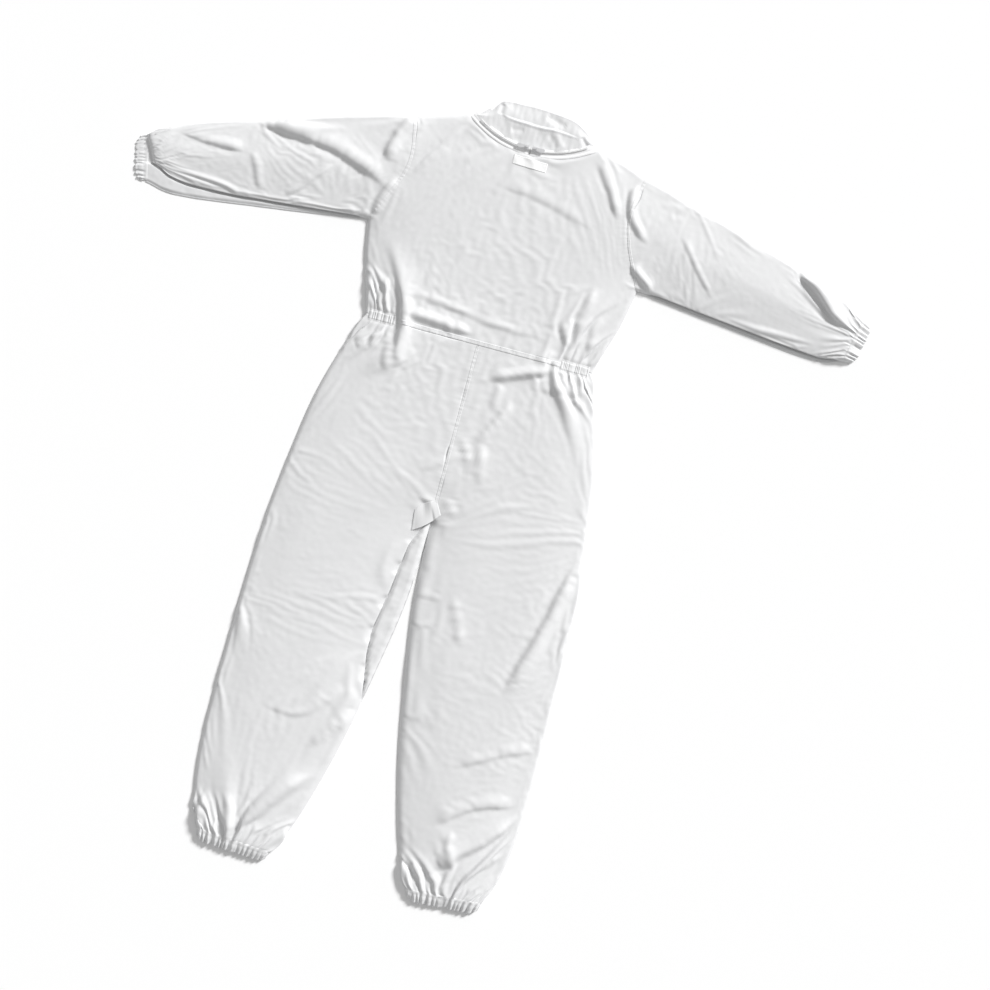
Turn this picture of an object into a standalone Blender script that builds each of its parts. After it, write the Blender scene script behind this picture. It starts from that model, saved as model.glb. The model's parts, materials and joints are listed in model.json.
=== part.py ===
"""Beekeeping suit: a one-piece coverall laid out on its front, with elastic at the waist, wrists and ankles,
a full-length front zip, and two hood zips that run round the neck from the centre back.

Units are metres. +Y runs from the feet to the collar, +X to the wearer's right, +Z up, out of the suit's back.
The suit lies on z = 0. The back layer is a low crown over the flat front layer, with the hollow for the wearer
between them, and every panel is its own sewn piece.
"""

import math

import bmesh
import bpy
from mathutils import Matrix, Vector

# ---- driving dimensions ----
CLOTH = 0.0010  # a panel's wall, which stands for the cloth with its turnings
GAP = 0.0003  # clearance between neighbouring layers
SEAM = 0.0004  # half the width of a seam line, left open between two panels
BODY_RISE = 0.026  # the hollow's height under the back of the body and legs
MOUTH_RISE = 0.0115  # the hollow's height at the neck, the wrists and the ankles
EDGE_ROLL = 2.2  # how far a folded edge takes to rise, in hollow heights
BACK_EDGE_Z = 0.0019  # the back layer's rim, just above the front layer's
FRONT_LIFT = 0.0016  # the front layer stands this much off the floor, over its pockets
ZIP_LIFT = 0.0030  # and this much more along the front zip

# Half outline of the laid suit, about its centre line
SHOULDER_TIP = (0.239, 0.723)
NECK_POINT = (0.131, 0.758)
COLLAR_SIDE = (0.106, 0.781)
COLLAR_CORNER = (0.085, 0.797)
COLLAR_TOP_Y = 0.801
UNDERARM = (0.278, 0.500)
ARMHOLE = [UNDERARM, (0.238, 0.585), (0.226, 0.645), SHOULDER_TIP]
WAIST = (0.233, 0.317)
SIDE_SEAM = [WAIST, (0.240, 0.345), (0.264, 0.425), UNDERARM]
CROTCH_Y = -0.047
HEM_OUTER = (0.294, -0.764)
HEM_INNER = (0.141, -0.774)
OUTER_LEG = [WAIST, (0.253, 0.266), (0.287, 0.146), (0.306, 0.026), (0.323, -0.135), (0.331, -0.375),
             (0.331, -0.575), (0.318, -0.695), HEM_OUTER]
INNER_LEG = [(0.002, CROTCH_Y), (0.007, -0.214), (0.031, -0.374), (0.061, -0.534), (0.105, -0.694), HEM_INNER]

# Sleeves, as they lie
SHOULDER_PIVOT = (0.245, 0.615)
SLEEVE_REACH = {"left": 0.505, "right": 0.487}
SLEEVE_DROOP = {"left": math.radians(12.7), "right": math.radians(11.8)}
SLEEVE_CUFF_HALF_WIDTH = 0.046
HIP_PIVOT = (0.160, -0.060)

# Elastic cuffs
CASING_DEPTH = 0.022
CASING_WALL = 0.0008
ELASTIC_THICKNESS = 0.0010
SLEEVE_CUFF_HALF_HEIGHT = 0.0065
LEG_CUFF_HALF_HEIGHT = 0.0075

# Waist elastic, inside the back
WAIST_BAND = 0.028
WAIST_CASING_HALF_WIDTH = 0.214
WAIST_ELASTIC_LENGTH = 0.060
WAIST_CLEARANCE = 0.0018  # between the back, the elastic and the casing, over their curve

# Neck and hood zips
NECK_RADIUS = 0.206
NECK_CENTRE = (0.0, 0.918)
NECK_HALF_ANGLE = math.radians(39.0)
FRONT_NECK_Y = 0.672
COLLAR_FRONT_Y = 0.738
TAPE_THICKNESS = 0.0006
NECK_TAPE = (0.1965, 0.2145)  # radii of its inner and outer edges
NECK_SLIDER_RADIUS = 0.1995
NECK_SLIDER_ANGLE = math.radians(2.4)
NECK_BOX_ANGLE = math.radians(0.45)
NECK_CHAIN_END = math.radians(33.0)
NECK_SLIDER_LIFT = 0.0039  # the slider's middle above the cloth

# Front zip
ZIP_BOTTOM_Y = 0.080
ZIP_TOP_Y = 0.735
ZIP_CHAIN_Z = 0.0062
ZIP_OPENING = 0.0052  # from the centre line to a front panel's edge
ZIP_TAPE_WIDTH = 0.0140
ZIP_GUARD_HALF_WIDTH = 0.020
CHAIN_INNER = 0.0007  # a tooth chain's sides, from the zip's centre line
CHAIN_OUTER = 0.0029
CHAIN_HALF_HEIGHT = 0.0012
SLIDER_HALF_SIZE = 0.0045
PLATE_BOTTOM = 0.0016  # a slider plate's faces, from the chain's middle
PLATE_TOP = 0.0026
PULL_AXIS = 0.0033
PULL_THICKNESS = 0.0008
PULL_LENGTH = 0.0200

SIDES = {"left": -1, "right": 1}


# ---- plane curves ----
def smooth(t):
    t = min(max(t, 0.0), 1.0)
    return t * t * (3 - 2 * t)


def mix(a, b, t):
    return a + (b - a) * t


def spline(points):
    """A curve through the points, as a function of 0 to 1."""
    points = [Vector(p) for p in points]
    ends = [points[0] * 2 - points[1]] + points + [points[-1] * 2 - points[-2]]
    spans = len(points) - 1

    def at(t):
        i = min(int(t * spans), spans - 1)
        a, b, c, d = ends[i:i + 4]
        s = t * spans - i
        return 0.5 * (2 * b + (c - a) * s + (2 * a - 5 * b + 4 * c - d) * s * s + (3 * b - a - 3 * c + d) * s ** 3)

    return at


def line(a, b):
    return lambda t: Vector(a).lerp(Vector(b), t)


def chain_of(parts):
    """Several curves end to end, each taking the share of 0 to 1 that stands beside it."""
    def at(t):
        start = 0.0
        for share, curve in parts[:-1]:
            if t < start + share:
                return curve((t - start) / share)
            start += share
        return parts[-1][1](min((t - start) / parts[-1][0], 1.0))

    return at


def reverse(curve):
    return lambda t: curve(1 - t)


def mirrored(points, side):
    return [(SIDES[side] * x, y) for x, y in points]


def on_neck(angle, radius=NECK_RADIUS):
    return Vector((NECK_CENTRE[0] + radius * math.sin(angle), NECK_CENTRE[1] - radius * math.cos(angle)))


def sleeve_axis(side):
    droop = SLEEVE_DROOP[side]
    return Vector((SIDES[side] * math.cos(droop), -math.sin(droop)))


def sleeve_across(side):
    axis = sleeve_axis(side)
    return Vector((-axis.y, axis.x)) * SIDES[side]


def sleeve_end(side):
    """The middle of the sleeve panel's end, where the cuff starts."""
    return Vector((SIDES[side] * SHOULDER_PIVOT[0], SHOULDER_PIVOT[1])) + sleeve_axis(side) * SLEEVE_REACH[side]


def sleeve_edges(side):
    """The sleeve's upper and lower fold, from the armhole to the cuff."""
    tip, underarm = Vector(mirrored([SHOULDER_TIP], side)[0]), Vector(mirrored([UNDERARM], side)[0])
    across = sleeve_across(side)
    top = sleeve_end(side) + across * SLEEVE_CUFF_HALF_WIDTH
    bottom = sleeve_end(side) - across * SLEEVE_CUFF_HALF_WIDTH
    upper = [tip, tip.lerp(top, 0.5) + across * 0.012, tip.lerp(top, 0.86) + across * 0.014, top]
    lower = [underarm, underarm.lerp(bottom, 0.45) - across * 0.010, underarm.lerp(bottom, 0.85) - across * 0.016,
             bottom]
    return spline(upper), spline(lower)


def leg_axis(side):
    across = Vector(HEM_OUTER) - Vector(HEM_INNER)
    return Vector((SIDES[side] * across.y, -across.x)).normalized()


# ---- the laid suit's outline and height ----
def sampled(curve, count):
    return [curve(i / count) for i in range(count + 1)]


def outline_folds():
    """The suit's folded edges, as short straight pieces. Its open mouths are left out."""
    folds = []
    for side in SIDES:
        upper, lower = sleeve_edges(side)
        runs = [
            sampled(spline(mirrored([COLLAR_CORNER, COLLAR_SIDE, NECK_POINT], side)), 4),
            [Vector(p) for p in mirrored([NECK_POINT, SHOULDER_TIP], side)],
            sampled(upper, 8),
            sampled(lower, 8),
            sampled(spline(mirrored(SIDE_SEAM, side)), 8),
            sampled(spline(mirrored(OUTER_LEG, side)), 24),
            sampled(spline(mirrored(INNER_LEG, side)), 16),
        ]
        folds += [pair for run in runs for pair in zip(run, run[1:])]
    return folds


def mouths():
    """The neck, wrist and ankle openings, as straight pieces."""
    found = [(Vector((-COLLAR_CORNER[0], COLLAR_TOP_Y)), Vector((COLLAR_CORNER[0], COLLAR_TOP_Y)))]
    for side in SIDES:
        upper, lower = sleeve_edges(side)
        found.append((upper(1), lower(1)))
        found.append(tuple(Vector(p) for p in mirrored([HEM_OUTER, HEM_INNER], side)))
    return found


FOLDS = outline_folds()
MOUTHS = mouths()


def distance(point, pieces):
    best = math.inf
    for a, b in pieces:
        along = b - a
        t = min(max((point - a).dot(along) / along.length_squared, 0.0), 1.0)
        best = min(best, (point - a - along * t).length)
    return best


def hollow(point):
    """The hollow's height at a point, before its folded edges bring it down."""
    return mix(MOUTH_RISE, BODY_RISE, smooth((distance(point, MOUTHS) - 0.09) / 0.15))


def back_height(point):
    """The outer face of the back layer."""
    rise = hollow(point)
    t = min(distance(point, FOLDS) / (EDGE_ROLL * rise), 1.0)
    return BACK_EDGE_Z + rise * math.sqrt(1 - (1 - t) ** 2)


def front_height(point):
    """The outer face of the front layer, which the floor touches along the folded edges."""
    off_edge = smooth(distance(point, FOLDS) / 0.04)
    beside_zip = smooth(1.4 - abs(point.x) / 0.05) * smooth((point.y + 0.02) / 0.06)
    return (FRONT_LIFT + ZIP_LIFT * beside_zip) * off_edge


def on_back(point, lift):
    """The point this far out of the back layer's outer face."""
    step = 0.0005
    z = back_height(point)
    slope_x = (back_height(point + Vector((step, 0))) - back_height(point - Vector((step, 0)))) / (2 * step)
    slope_y = (back_height(point + Vector((0, step))) - back_height(point - Vector((0, step)))) / (2 * step)
    return Vector((point.x, point.y, z)) + Vector((-slope_x, -slope_y, 1)).normalized() * lift


# ---- Blender objects ----
def clear_scene():
    for obj in list(bpy.data.objects):
        bpy.data.objects.remove(obj, do_unlink=True)


def material(name, color, roughness, metallic=0.0):
    made = bpy.data.materials.get(name) or bpy.data.materials.new(name)
    made.use_nodes = True
    shader = made.node_tree.nodes["Principled BSDF"]
    shader.inputs["Base Color"].default_value = (*color, 1)
    shader.inputs["Roughness"].default_value = roughness
    shader.inputs["Metallic"].default_value = metallic
    return made


def cloth():
    return material("white_cloth", (0.86, 0.86, 0.87), 0.80)


def elastic():
    return material("elastic", (0.80, 0.80, 0.79), 0.90)


def tape():
    return material("zip_tape", (0.93, 0.93, 0.94), 0.80)


def teeth():
    return material("zip_teeth", (0.90, 0.90, 0.91), 0.45)


def metal():
    return material("zip_metal", (0.62, 0.62, 0.64), 0.30, 1.0)


def label_cloth():
    return material("label", (0.95, 0.95, 0.95), 0.70)


def add(name, points, faces, look, parent=None):
    mesh = bpy.data.meshes.new(name)
    mesh.from_pydata([tuple(p) for p in points], [], faces)
    bm = bmesh.new()
    bm.from_mesh(mesh)
    bmesh.ops.remove_doubles(bm, verts=bm.verts, dist=1e-6)
    bmesh.ops.recalc_face_normals(bm, faces=bm.faces)
    bm.to_mesh(mesh)
    bm.free()
    mesh.shade_smooth()
    mesh.set_sharp_from_angle(angle=math.radians(40))
    mesh.materials.append(look)
    obj = bpy.data.objects.new(name, mesh)
    bpy.context.collection.objects.link(obj)
    obj.parent = parent
    return obj


def pivot(name, place, rotation=Matrix.Identity(4), parent=None):
    empty = bpy.data.objects.new(name, None)
    bpy.context.collection.objects.link(empty)
    empty.parent = parent
    empty.matrix_local = Matrix.Translation(place) @ rotation
    return empty


def under(parent, points):
    """World points in the frame of a pivot that stands upright."""
    return [Vector(p) - parent.matrix_world.translation for p in points] if parent else points


def grid_faces(columns, rows, loop=False):
    """The squares of a grid stored row by row. In a loop the last column joins the first."""
    spans = columns if loop else columns - 1
    return [
        (r * columns + c, r * columns + (c + 1) % columns, (r + 1) * columns + (c + 1) % columns, (r + 1) * columns + c)
        for r in range(rows - 1) for c in range(spans)
    ]


def patch(bottom, top, left, right, us, vs):
    """Plane points of a sheet bounded by four curves, row by row from the bottom."""
    corner_a, corner_b, corner_c, corner_d = bottom(0), bottom(1), top(0), top(1)
    rows = []
    for v in vs:
        for u in us:
            ruled = mix(bottom(u), top(u), v) + mix(left(v), right(v), u)
            rows.append(ruled - mix(mix(corner_a, corner_b, u), mix(corner_c, corner_d, u), v))
    return rows


def sheet(name, points, columns, look, outward=False, thickness=CLOTH, parent=None):
    """A grid of space points, given a wall on its lower side, or on its upper side if outward."""
    faces = grid_faces(columns, len(points) // columns)
    mesh = bpy.data.meshes.new(name)
    mesh.from_pydata([tuple(p) for p in under(parent, points)], [], faces)
    if sum(p.normal.z for p in mesh.polygons) < 0:
        mesh.flip_normals()
    mesh.shade_smooth()
    mesh.materials.append(look)
    obj = bpy.data.objects.new(name, mesh)
    bpy.context.collection.objects.link(obj)
    obj.parent = parent
    wall = obj.modifiers.new("Wall", "SOLIDIFY")
    wall.thickness = thickness
    wall.offset = 1 if outward else -1
    wall.use_even_offset = True
    return obj


def back_sheet(name, plane, columns, parent=None):
    points = [Vector((p.x, p.y, back_height(p))) for p in plane]
    return sheet(name, points, columns, cloth(), parent=parent)


def front_sheet(name, plane, columns, parent=None):
    points = [Vector((p.x, p.y, front_height(p))) for p in plane]
    return sheet(name, points, columns, cloth(), outward=True, parent=parent)


def box_points(low, high):
    return [Vector((x, y, z)) for z in (low[2], high[2]) for y in (low[1], high[1]) for x in (low[0], high[0])]


BOX_FACES = [(0, 2, 3, 1), (4, 5, 7, 6), (0, 1, 5, 4), (2, 6, 7, 3), (0, 4, 6, 2), (1, 3, 7, 5)]


def block(name, low, high, look, parent=None):
    return add(name, box_points(low, high), BOX_FACES, look, parent)


def sweep(name, path, profile, look, closed=False, parent=None):
    """A closed profile carried along frames (place, across, up)."""
    points = [place + across * a + up * b for place, across, up in path for a, b in profile]
    size = len(profile)
    faces = grid_faces(size, len(path), loop=True)
    if closed:
        last = (len(path) - 1) * size
        faces += [(last + i, last + (i + 1) % size, (i + 1) % size, i) for i in range(size)]
    else:
        faces += [tuple(range(size)), tuple(range(len(path) * size - 1, (len(path) - 1) * size - 1, -1))]
    return add(name, points, faces, look, parent)


def joined(base, parts):
    for part in parts:
        union = base.modifiers.new("Join", "BOOLEAN")
        union.operation = "UNION"
        union.object = part
        part.hide_render = True
        part.display_type = "WIRE"
    return base


# ---- body panels ----
NECK_SHARE = 0.24  # where the shoulder seam ends along the bodice's top edge
UNDERARM_SHARE = 0.45  # where the side seam ends along the bodice's side
NECK_STEPS = [0.0, 0.06, 0.14, 0.26, 0.38, 0.5]  # half the neckline, from the shoulder to the middle
ARMHOLE_STEPS = [0.0, 0.03, 0.1, 0.24, 0.4, 0.56, 0.72, 0.87, 0.96, 1.0]  # from the underarm to the shoulder tip
TORSO_COLUMNS = [0.0, 0.012, 0.035, 0.075, 0.14] + [NECK_SHARE + (1 - 2 * NECK_SHARE) * s for s in NECK_STEPS]
TORSO_ROWS = [0.0, 0.1, 0.22, 0.34] + [UNDERARM_SHARE + (1 - UNDERARM_SHARE) * s for s in ARMHOLE_STEPS]


def both_ways(half):
    return half + [1 - u for u in reversed(half[:-1])]


def inset(curve, side, amount):
    """The curve moved towards the centre line."""
    return lambda t: curve(t) - Vector((SIDES[side] * amount, 0))


def bodice_side(side):
    """Side seam and armhole, from the waist to the shoulder tip."""
    armhole = inset(spline(mirrored(ARMHOLE, side)), side, SEAM)
    seam = inset(spline(mirrored(SIDE_SEAM, side)), side, SEAM)
    return chain_of([(UNDERARM_SHARE, seam), (1 - UNDERARM_SHARE, armhole)])


def shoulder(side):
    tip, neck = mirrored([SHOULDER_TIP, NECK_POINT], side)
    return line((tip[0] - SIDES[side] * SEAM, tip[1]), neck)


def waist_line(y):
    return line((-WAIST[0] + SEAM, y), (WAIST[0] - SEAM, y))


def back_bodice():
    neck = lambda t: on_neck(mix(-NECK_HALF_ANGLE, NECK_HALF_ANGLE, t), NECK_RADIUS + SEAM)
    ends = [neck(0), neck(1)]
    left_shoulder = line(shoulder("left")(0), ends[0])
    right_shoulder = line(ends[1], shoulder("right")(0))
    top = chain_of([(NECK_SHARE, left_shoulder), (1 - 2 * NECK_SHARE, neck), (NECK_SHARE, right_shoulder)])
    us = both_ways(TORSO_COLUMNS)
    bottom = waist_line(WAIST[1] + SEAM)
    plane = patch(bottom, top, bodice_side("left"), bodice_side("right"), us, TORSO_ROWS)
    return back_sheet("back_bodice", plane, len(us))


def front_neckline(side):
    """The front neckline, from the shoulder down to the zip."""
    return spline(mirrored([NECK_POINT, (0.098, 0.712), (0.052, 0.682), (ZIP_OPENING, FRONT_NECK_Y)], side))


def front_bodice(side):
    sign = SIDES[side]
    neck = front_neckline(side)
    top = chain_of([(2 * NECK_SHARE, shoulder(side)), (1 - 2 * NECK_SHARE, neck)])
    us = [2 * u for u in TORSO_COLUMNS]
    waist_y = WAIST[1] + SEAM
    bottom = line((sign * (WAIST[0] - SEAM), waist_y), (sign * ZIP_OPENING, waist_y))
    middle = line((sign * ZIP_OPENING, waist_y), (sign * ZIP_OPENING, FRONT_NECK_Y))
    plane = patch(bottom, top, bodice_side(side), middle, us, TORSO_ROWS)
    return front_sheet(f"front_bodice_{side}", plane, len(us))


def collar_back():
    """Back stand collar, laid up from the neckline."""
    arc = lambda t: on_neck(mix(-NECK_HALF_ANGLE, NECK_HALF_ANGLE, t), NECK_RADIUS - SEAM)
    corner = Vector(COLLAR_CORNER)
    top = spline([(-corner.x, corner.y), (0, COLLAR_TOP_Y), corner])
    left = spline([arc(0), mirrored([COLLAR_SIDE], "left")[0], (-corner.x, corner.y)])
    right = spline([arc(1), COLLAR_SIDE, corner])
    us = both_ways(NECK_STEPS)
    return back_sheet("collar_back", patch(arc, top, left, right, us, [0.0, 0.25, 0.5, 0.75, 1.0]), len(us))


def collar_front(side):
    """Front half of the collar, under the back collar."""
    sign = SIDES[side]
    lift = Vector((0, 2 * SEAM))
    neckline = front_neckline(side)
    bottom = lambda t: neckline(t) + lift
    corner = Vector((sign * COLLAR_CORNER[0], COLLAR_CORNER[1]))
    end = Vector((sign * ZIP_OPENING, COLLAR_FRONT_Y))
    top = spline([corner, corner.lerp(end, 0.5) - Vector((0, 0.012)), end])
    outer = spline([bottom(0), (sign * COLLAR_SIDE[0], COLLAR_SIDE[1]), corner])
    us = [2 * s for s in NECK_STEPS]
    plane = patch(bottom, top, outer, line(bottom(1), end), us, [0.0, 0.33, 0.66, 1.0])
    return front_sheet(f"collar_front_{side}", plane, len(us))


# ---- sleeves ----
def sleeve(side, parent):
    """One panel sewn into a tube, from the armhole to the cuff."""
    sign = SIDES[side]
    armhole = inset(reverse(spline(mirrored(ARMHOLE, side))), side, -SEAM)
    upper, lower = sleeve_edges(side)
    start = Vector((sign * SEAM, 0))
    upper_edge, lower_edge = (lambda t: upper(t) + start * (1 - t)), (lambda t: lower(t) + start * (1 - t))
    across = [1 - s for s in reversed(ARMHOLE_STEPS)]
    along = [0.0, 0.06, 0.16, 0.3, 0.45, 0.6, 0.75, 0.88, 1.0]
    plane = patch(armhole, line(upper(1), lower(1)), upper_edge, lower_edge, across, along)
    points = []
    for row in range(len(along)):
        flat = plane[row * len(across):(row + 1) * len(across)]
        points += [Vector((p.x, p.y, back_height(p))) for p in flat]
        points += [Vector((p.x, p.y, 0)) for p in reversed(flat)]
    columns = 2 * len(across)
    faces = grid_faces(columns, len(along), loop=True)
    obj = add(f"sleeve_{side}", under(parent, points), faces, cloth(), parent)
    wall = obj.modifiers.new("Wall", "SOLIDIFY")
    wall.thickness = CLOTH
    wall.offset = -1
    wall.use_even_offset = True
    return obj


# ---- trousers ----
LEG_ROWS = [0.0, 0.04, 0.12, 0.218, 0.28, 0.335, 0.37, 0.45, 0.55, 0.66, 0.78, 0.9, 1.0]
LEG_COLUMNS = [0.0, 0.02, 0.06, 0.14, 0.3, 0.5, 0.7, 0.86, 0.94, 0.98, 1.0]
CROTCH_SHARE = 0.335  # where the centre seam ends along the inner edge


def trouser_plane(side, centre):
    """A trouser panel from the waist seam to the hem. centre holds the half width that its inner edge leaves
    open at the waist, at the zip's end and at the crotch."""
    waist_y = WAIST[1] - SEAM
    outer = inset(spline(mirrored([(WAIST[0], waist_y)] + OUTER_LEG[1:], side)), side, SEAM)
    at_waist, at_zip_end, at_crotch = mirrored(zip(centre, (waist_y, ZIP_BOTTOM_Y, CROTCH_Y)), side)
    zip_share = (waist_y - ZIP_BOTTOM_Y) / (waist_y - CROTCH_Y)
    seam = chain_of([(zip_share, line(at_waist, at_zip_end)), (1 - zip_share, line(at_zip_end, at_crotch))])
    inseam = spline([at_crotch] + mirrored(INNER_LEG[1:], side))
    inner = chain_of([(CROTCH_SHARE, seam), (1 - CROTCH_SHARE, inseam)])
    return patch(line(outer(0), inner(0)), line(outer(1), inner(1)), outer, inner, LEG_COLUMNS, LEG_ROWS)


def trouser_back(side, parent):
    return back_sheet(f"trouser_back_{side}", trouser_plane(side, (SEAM, SEAM, SEAM)), len(LEG_COLUMNS), parent)


def trouser_front(side, parent):
    centre = (ZIP_OPENING, ZIP_OPENING, SEAM)
    return front_sheet(f"trouser_front_{side}", trouser_plane(side, centre), len(LEG_COLUMNS), parent)


# ---- elastic cuffs ----
def cuff_frames(centre, axis, half_width, half_height, count):
    """Frames round a flattened tube's mouth: place, outward normal, and the tube's own direction."""
    across = Vector((-axis.y, axis.x, 0))
    straight = half_width - half_height
    frames = []
    for i in range(count):
        angle = 2 * math.pi * i / count
        flat = max(-1.0, min(1.0, 1.6 * math.cos(angle)))
        normal = across * math.cos(angle) + Vector((0, 0, 1)) * math.sin(angle)
        place = Vector((*centre, half_height)) + across * (straight * flat) + normal * half_height
        frames.append((place, Vector((axis.x, axis.y, 0)), normal))
    return frames


def cuff(name, elastic_name, centre, axis, half_width, half_height, parent):
    """A turned hem casing, open towards the panel, and the elastic ring that lies in it."""
    outer = [(place - parent.matrix_world.translation, along, normal)
             for place, along, normal in cuff_frames(centre + axis * 2 * SEAM, axis, half_width, half_height, 24)]
    depth, wall = CASING_DEPTH, CASING_WALL
    inner = wall + 2 * GAP + ELASTIC_THICKNESS
    casing = [(0, 0), (depth, 0), (depth, -inner - wall), (0, -inner - wall), (0, -inner), (depth - wall, -inner),
              (depth - wall, -wall), (0, -wall)]
    sweep(name, outer, casing, cloth(), closed=True, parent=parent)
    high, low = -wall - GAP, -wall - GAP - ELASTIC_THICKNESS
    end = depth - wall - GAP
    band = [(2 * GAP, high), (end, high), (end, low), (2 * GAP, low)]
    sweep(elastic_name, outer, band, elastic(), closed=True, parent=parent)


def sleeve_cuff(side, parent):
    cuff(f"sleeve_cuff_{side}", f"sleeve_elastic_{side}", sleeve_end(side), sleeve_axis(side),
         SLEEVE_CUFF_HALF_WIDTH, SLEEVE_CUFF_HALF_HEIGHT, parent)


def leg_cuff(side, parent):
    outer, inner = (Vector(p) for p in mirrored([HEM_OUTER, HEM_INNER], side))
    half_width = (outer - inner).length / 2
    cuff(f"leg_cuff_{side}", f"leg_elastic_{side}", (outer + inner) / 2, leg_axis(side), half_width,
         LEG_CUFF_HALF_HEIGHT, parent)


# ---- waist ----
def inner_strip(name, xs, ys, depth, thickness, look):
    """A strip that lies against the inside of the back layer."""
    points = [on_back(Vector((x, y)), -depth) for y in ys for x in xs]
    return sheet(name, points, len(xs), look, thickness=thickness)


def waist_parts():
    low, high = WAIST[1] - WAIST_BAND / 2, WAIST[1] + WAIST_BAND / 2
    elastic_depth = CLOTH + WAIST_CLEARANCE
    casing_depth = elastic_depth + ELASTIC_THICKNESS + WAIST_CLEARANCE
    reach = WAIST_CASING_HALF_WIDTH
    xs = [reach * s for s in (-1, -0.93, -0.85, -0.7, -0.4, 0, 0.4, 0.7, 0.85, 0.93, 1)]
    inner_strip("waist_casing", xs, [low, WAIST[1], high], casing_depth, CASING_WALL, cloth())
    for side, sign in SIDES.items():
        ends = [reach - 0.002, reach - 0.015, reach - 0.033, reach - WAIST_ELASTIC_LENGTH]
        inner_strip(f"waist_elastic_{side}", [sign * x for x in ends], [low + 0.002, WAIST[1], high - 0.002],
                    elastic_depth, ELASTIC_THICKNESS, elastic())


# ---- zips ----
def slider_body(name, parent):
    """Two plates on a middle post, with the arch that holds the pull. Its length runs along Y."""
    half = SLIDER_HALF_SIZE
    post = CHAIN_INNER - GAP
    upper = block(name, (-half, -half, PLATE_BOTTOM), (half, half, PLATE_TOP), metal(), parent)
    overlap = 0.0004
    arch_low, arch_top, arch_half, leg = PULL_AXIS + 0.0007, PULL_AXIS + 0.0017, 0.0034, 0.0012
    parts = [
        block(name + "_lower", (-half, -half, -PLATE_TOP), (half, half, -PLATE_BOTTOM), metal(), parent),
        block(name + "_post", (-post, -0.0015, -PLATE_BOTTOM - overlap), (post, 0.0015, PLATE_BOTTOM + overlap),
              metal(), parent),
        block(name + "_arch", (-0.0008, -arch_half, arch_low), (0.0008, arch_half, arch_top), metal(), parent),
        block(name + "_front_leg", (-0.0007, -arch_half + 0.0001, PLATE_TOP - overlap),
              (0.0007, -arch_half + leg, arch_low + overlap), metal(), parent),
        block(name + "_rear_leg", (-0.0007, arch_half - leg, PLATE_TOP - overlap),
              (0.0007, arch_half - 0.0001, arch_low + overlap), metal(), parent),
    ]
    return joined(upper, parts)


def pull_tab(name, parent):
    """A flat tab that points along -Y, with a window whose end bar runs through the slider's arch."""
    narrow, wide, bar = 0.0026, 0.0034, 0.0005
    window_half, window_end = 0.0012, -0.0048
    z = PULL_THICKNESS / 2
    outer = [(-narrow, bar), (narrow, bar), (wide, -0.010), (wide, -PULL_LENGTH + 0.002),
             (wide - 0.0015, -PULL_LENGTH), (-wide + 0.0015, -PULL_LENGTH), (-wide, -PULL_LENGTH + 0.002),
             (-wide, -0.010)]
    window = [(-window_half, -bar), (window_half, -bar), (window_half, window_end * 0.5), (window_half, window_end),
              (0.0005, window_end), (-0.0005, window_end), (-window_half, window_end), (-window_half, window_end * 0.5)]
    points = [(x, y, level) for level in (-z, z) for loop in (outer, window) for x, y in loop]
    size = len(outer)
    faces = []
    for i in range(size):
        j = (i + 1) % size
        faces.append((i, j, size + j, size + i))
        faces.append((2 * size + i, 3 * size + i, 3 * size + j, 2 * size + j))
        faces.append((i, 2 * size + i, 2 * size + j, j))
        faces.append((size + i, size + j, 3 * size + j, 3 * size + i))
    return add(name, points, faces, metal(), parent)


def neck_surface(angle, radius, lift):
    return on_back(on_neck(angle, radius), lift)


def neck_zip(side):
    """Half a hood zip: it runs from the centre back round the neck to the shoulder."""
    sign = SIDES[side]
    angles = [sign * mix(NECK_BOX_ANGLE, NECK_HALF_ANGLE - math.radians(2), t) for t in
              (0, 0.125, 0.25, 0.375, 0.5, 0.625, 0.75, 0.86, 0.94, 1)]
    points = [neck_surface(a, r, GAP) for r in (NECK_TAPE[1], mix(*NECK_TAPE, 0.5), NECK_TAPE[0]) for a in angles]
    sheet(f"neck_zip_tape_{side}", points, len(angles), tape(), outward=True, thickness=TAPE_THICKNESS)
    top = back_height(on_neck(0, NECK_SLIDER_RADIUS)) + NECK_SLIDER_LIFT
    teeth_angles = [sign * mix(NECK_BOX_ANGLE * 2.2, NECK_CHAIN_END, i / 14) for i in range(15)]
    path = []
    for a in teeth_angles:
        radial = Vector((math.sin(a), -math.cos(a), 0))
        path.append((Vector((*on_neck(a, NECK_SLIDER_RADIUS), top)), radial, Vector((0, 0, 1))))
    half = CHAIN_HALF_HEIGHT
    profile = [(CHAIN_INNER, -half), (CHAIN_OUTER, -half), (CHAIN_OUTER, half), (CHAIN_INNER, half)]
    sweep(f"neck_zip_teeth_{side}", path, profile, teeth())
    started = Matrix.Rotation(sign * NECK_SLIDER_ANGLE, 4, "Z")
    travel = pivot(f"neck_slider_{side}_axis", (*NECK_CENTRE, top), started)
    sideways = Matrix.Rotation(sign * math.radians(90), 4, "Z")
    seat = pivot(f"neck_slider_{side}_seat", (0, -NECK_SLIDER_RADIUS, 0), sideways, travel)
    slider_body(f"neck_zip_slider_{side}", seat)
    swing = pivot(f"neck_pull_{side}_axis", (0, 0, PULL_AXIS), parent=seat)
    pull_tab(f"neck_zip_pull_{side}", swing)
    low, high = sign * NECK_BOX_ANGLE * 0.35, sign * NECK_BOX_ANGLE * 2.0
    ends = [(Vector((*on_neck(a, NECK_SLIDER_RADIUS), top)), Vector((math.sin(a), -math.cos(a), 0)), Vector((0, 0, 1)))
            for a in (low, high)]
    block_half = 0.0017
    profile = [(-0.0012, -block_half), (CHAIN_OUTER, -block_half), (CHAIN_OUTER, block_half), (-0.0012, block_half)]
    sweep(f"neck_zip_box_{side}", ends, profile, teeth())


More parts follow.
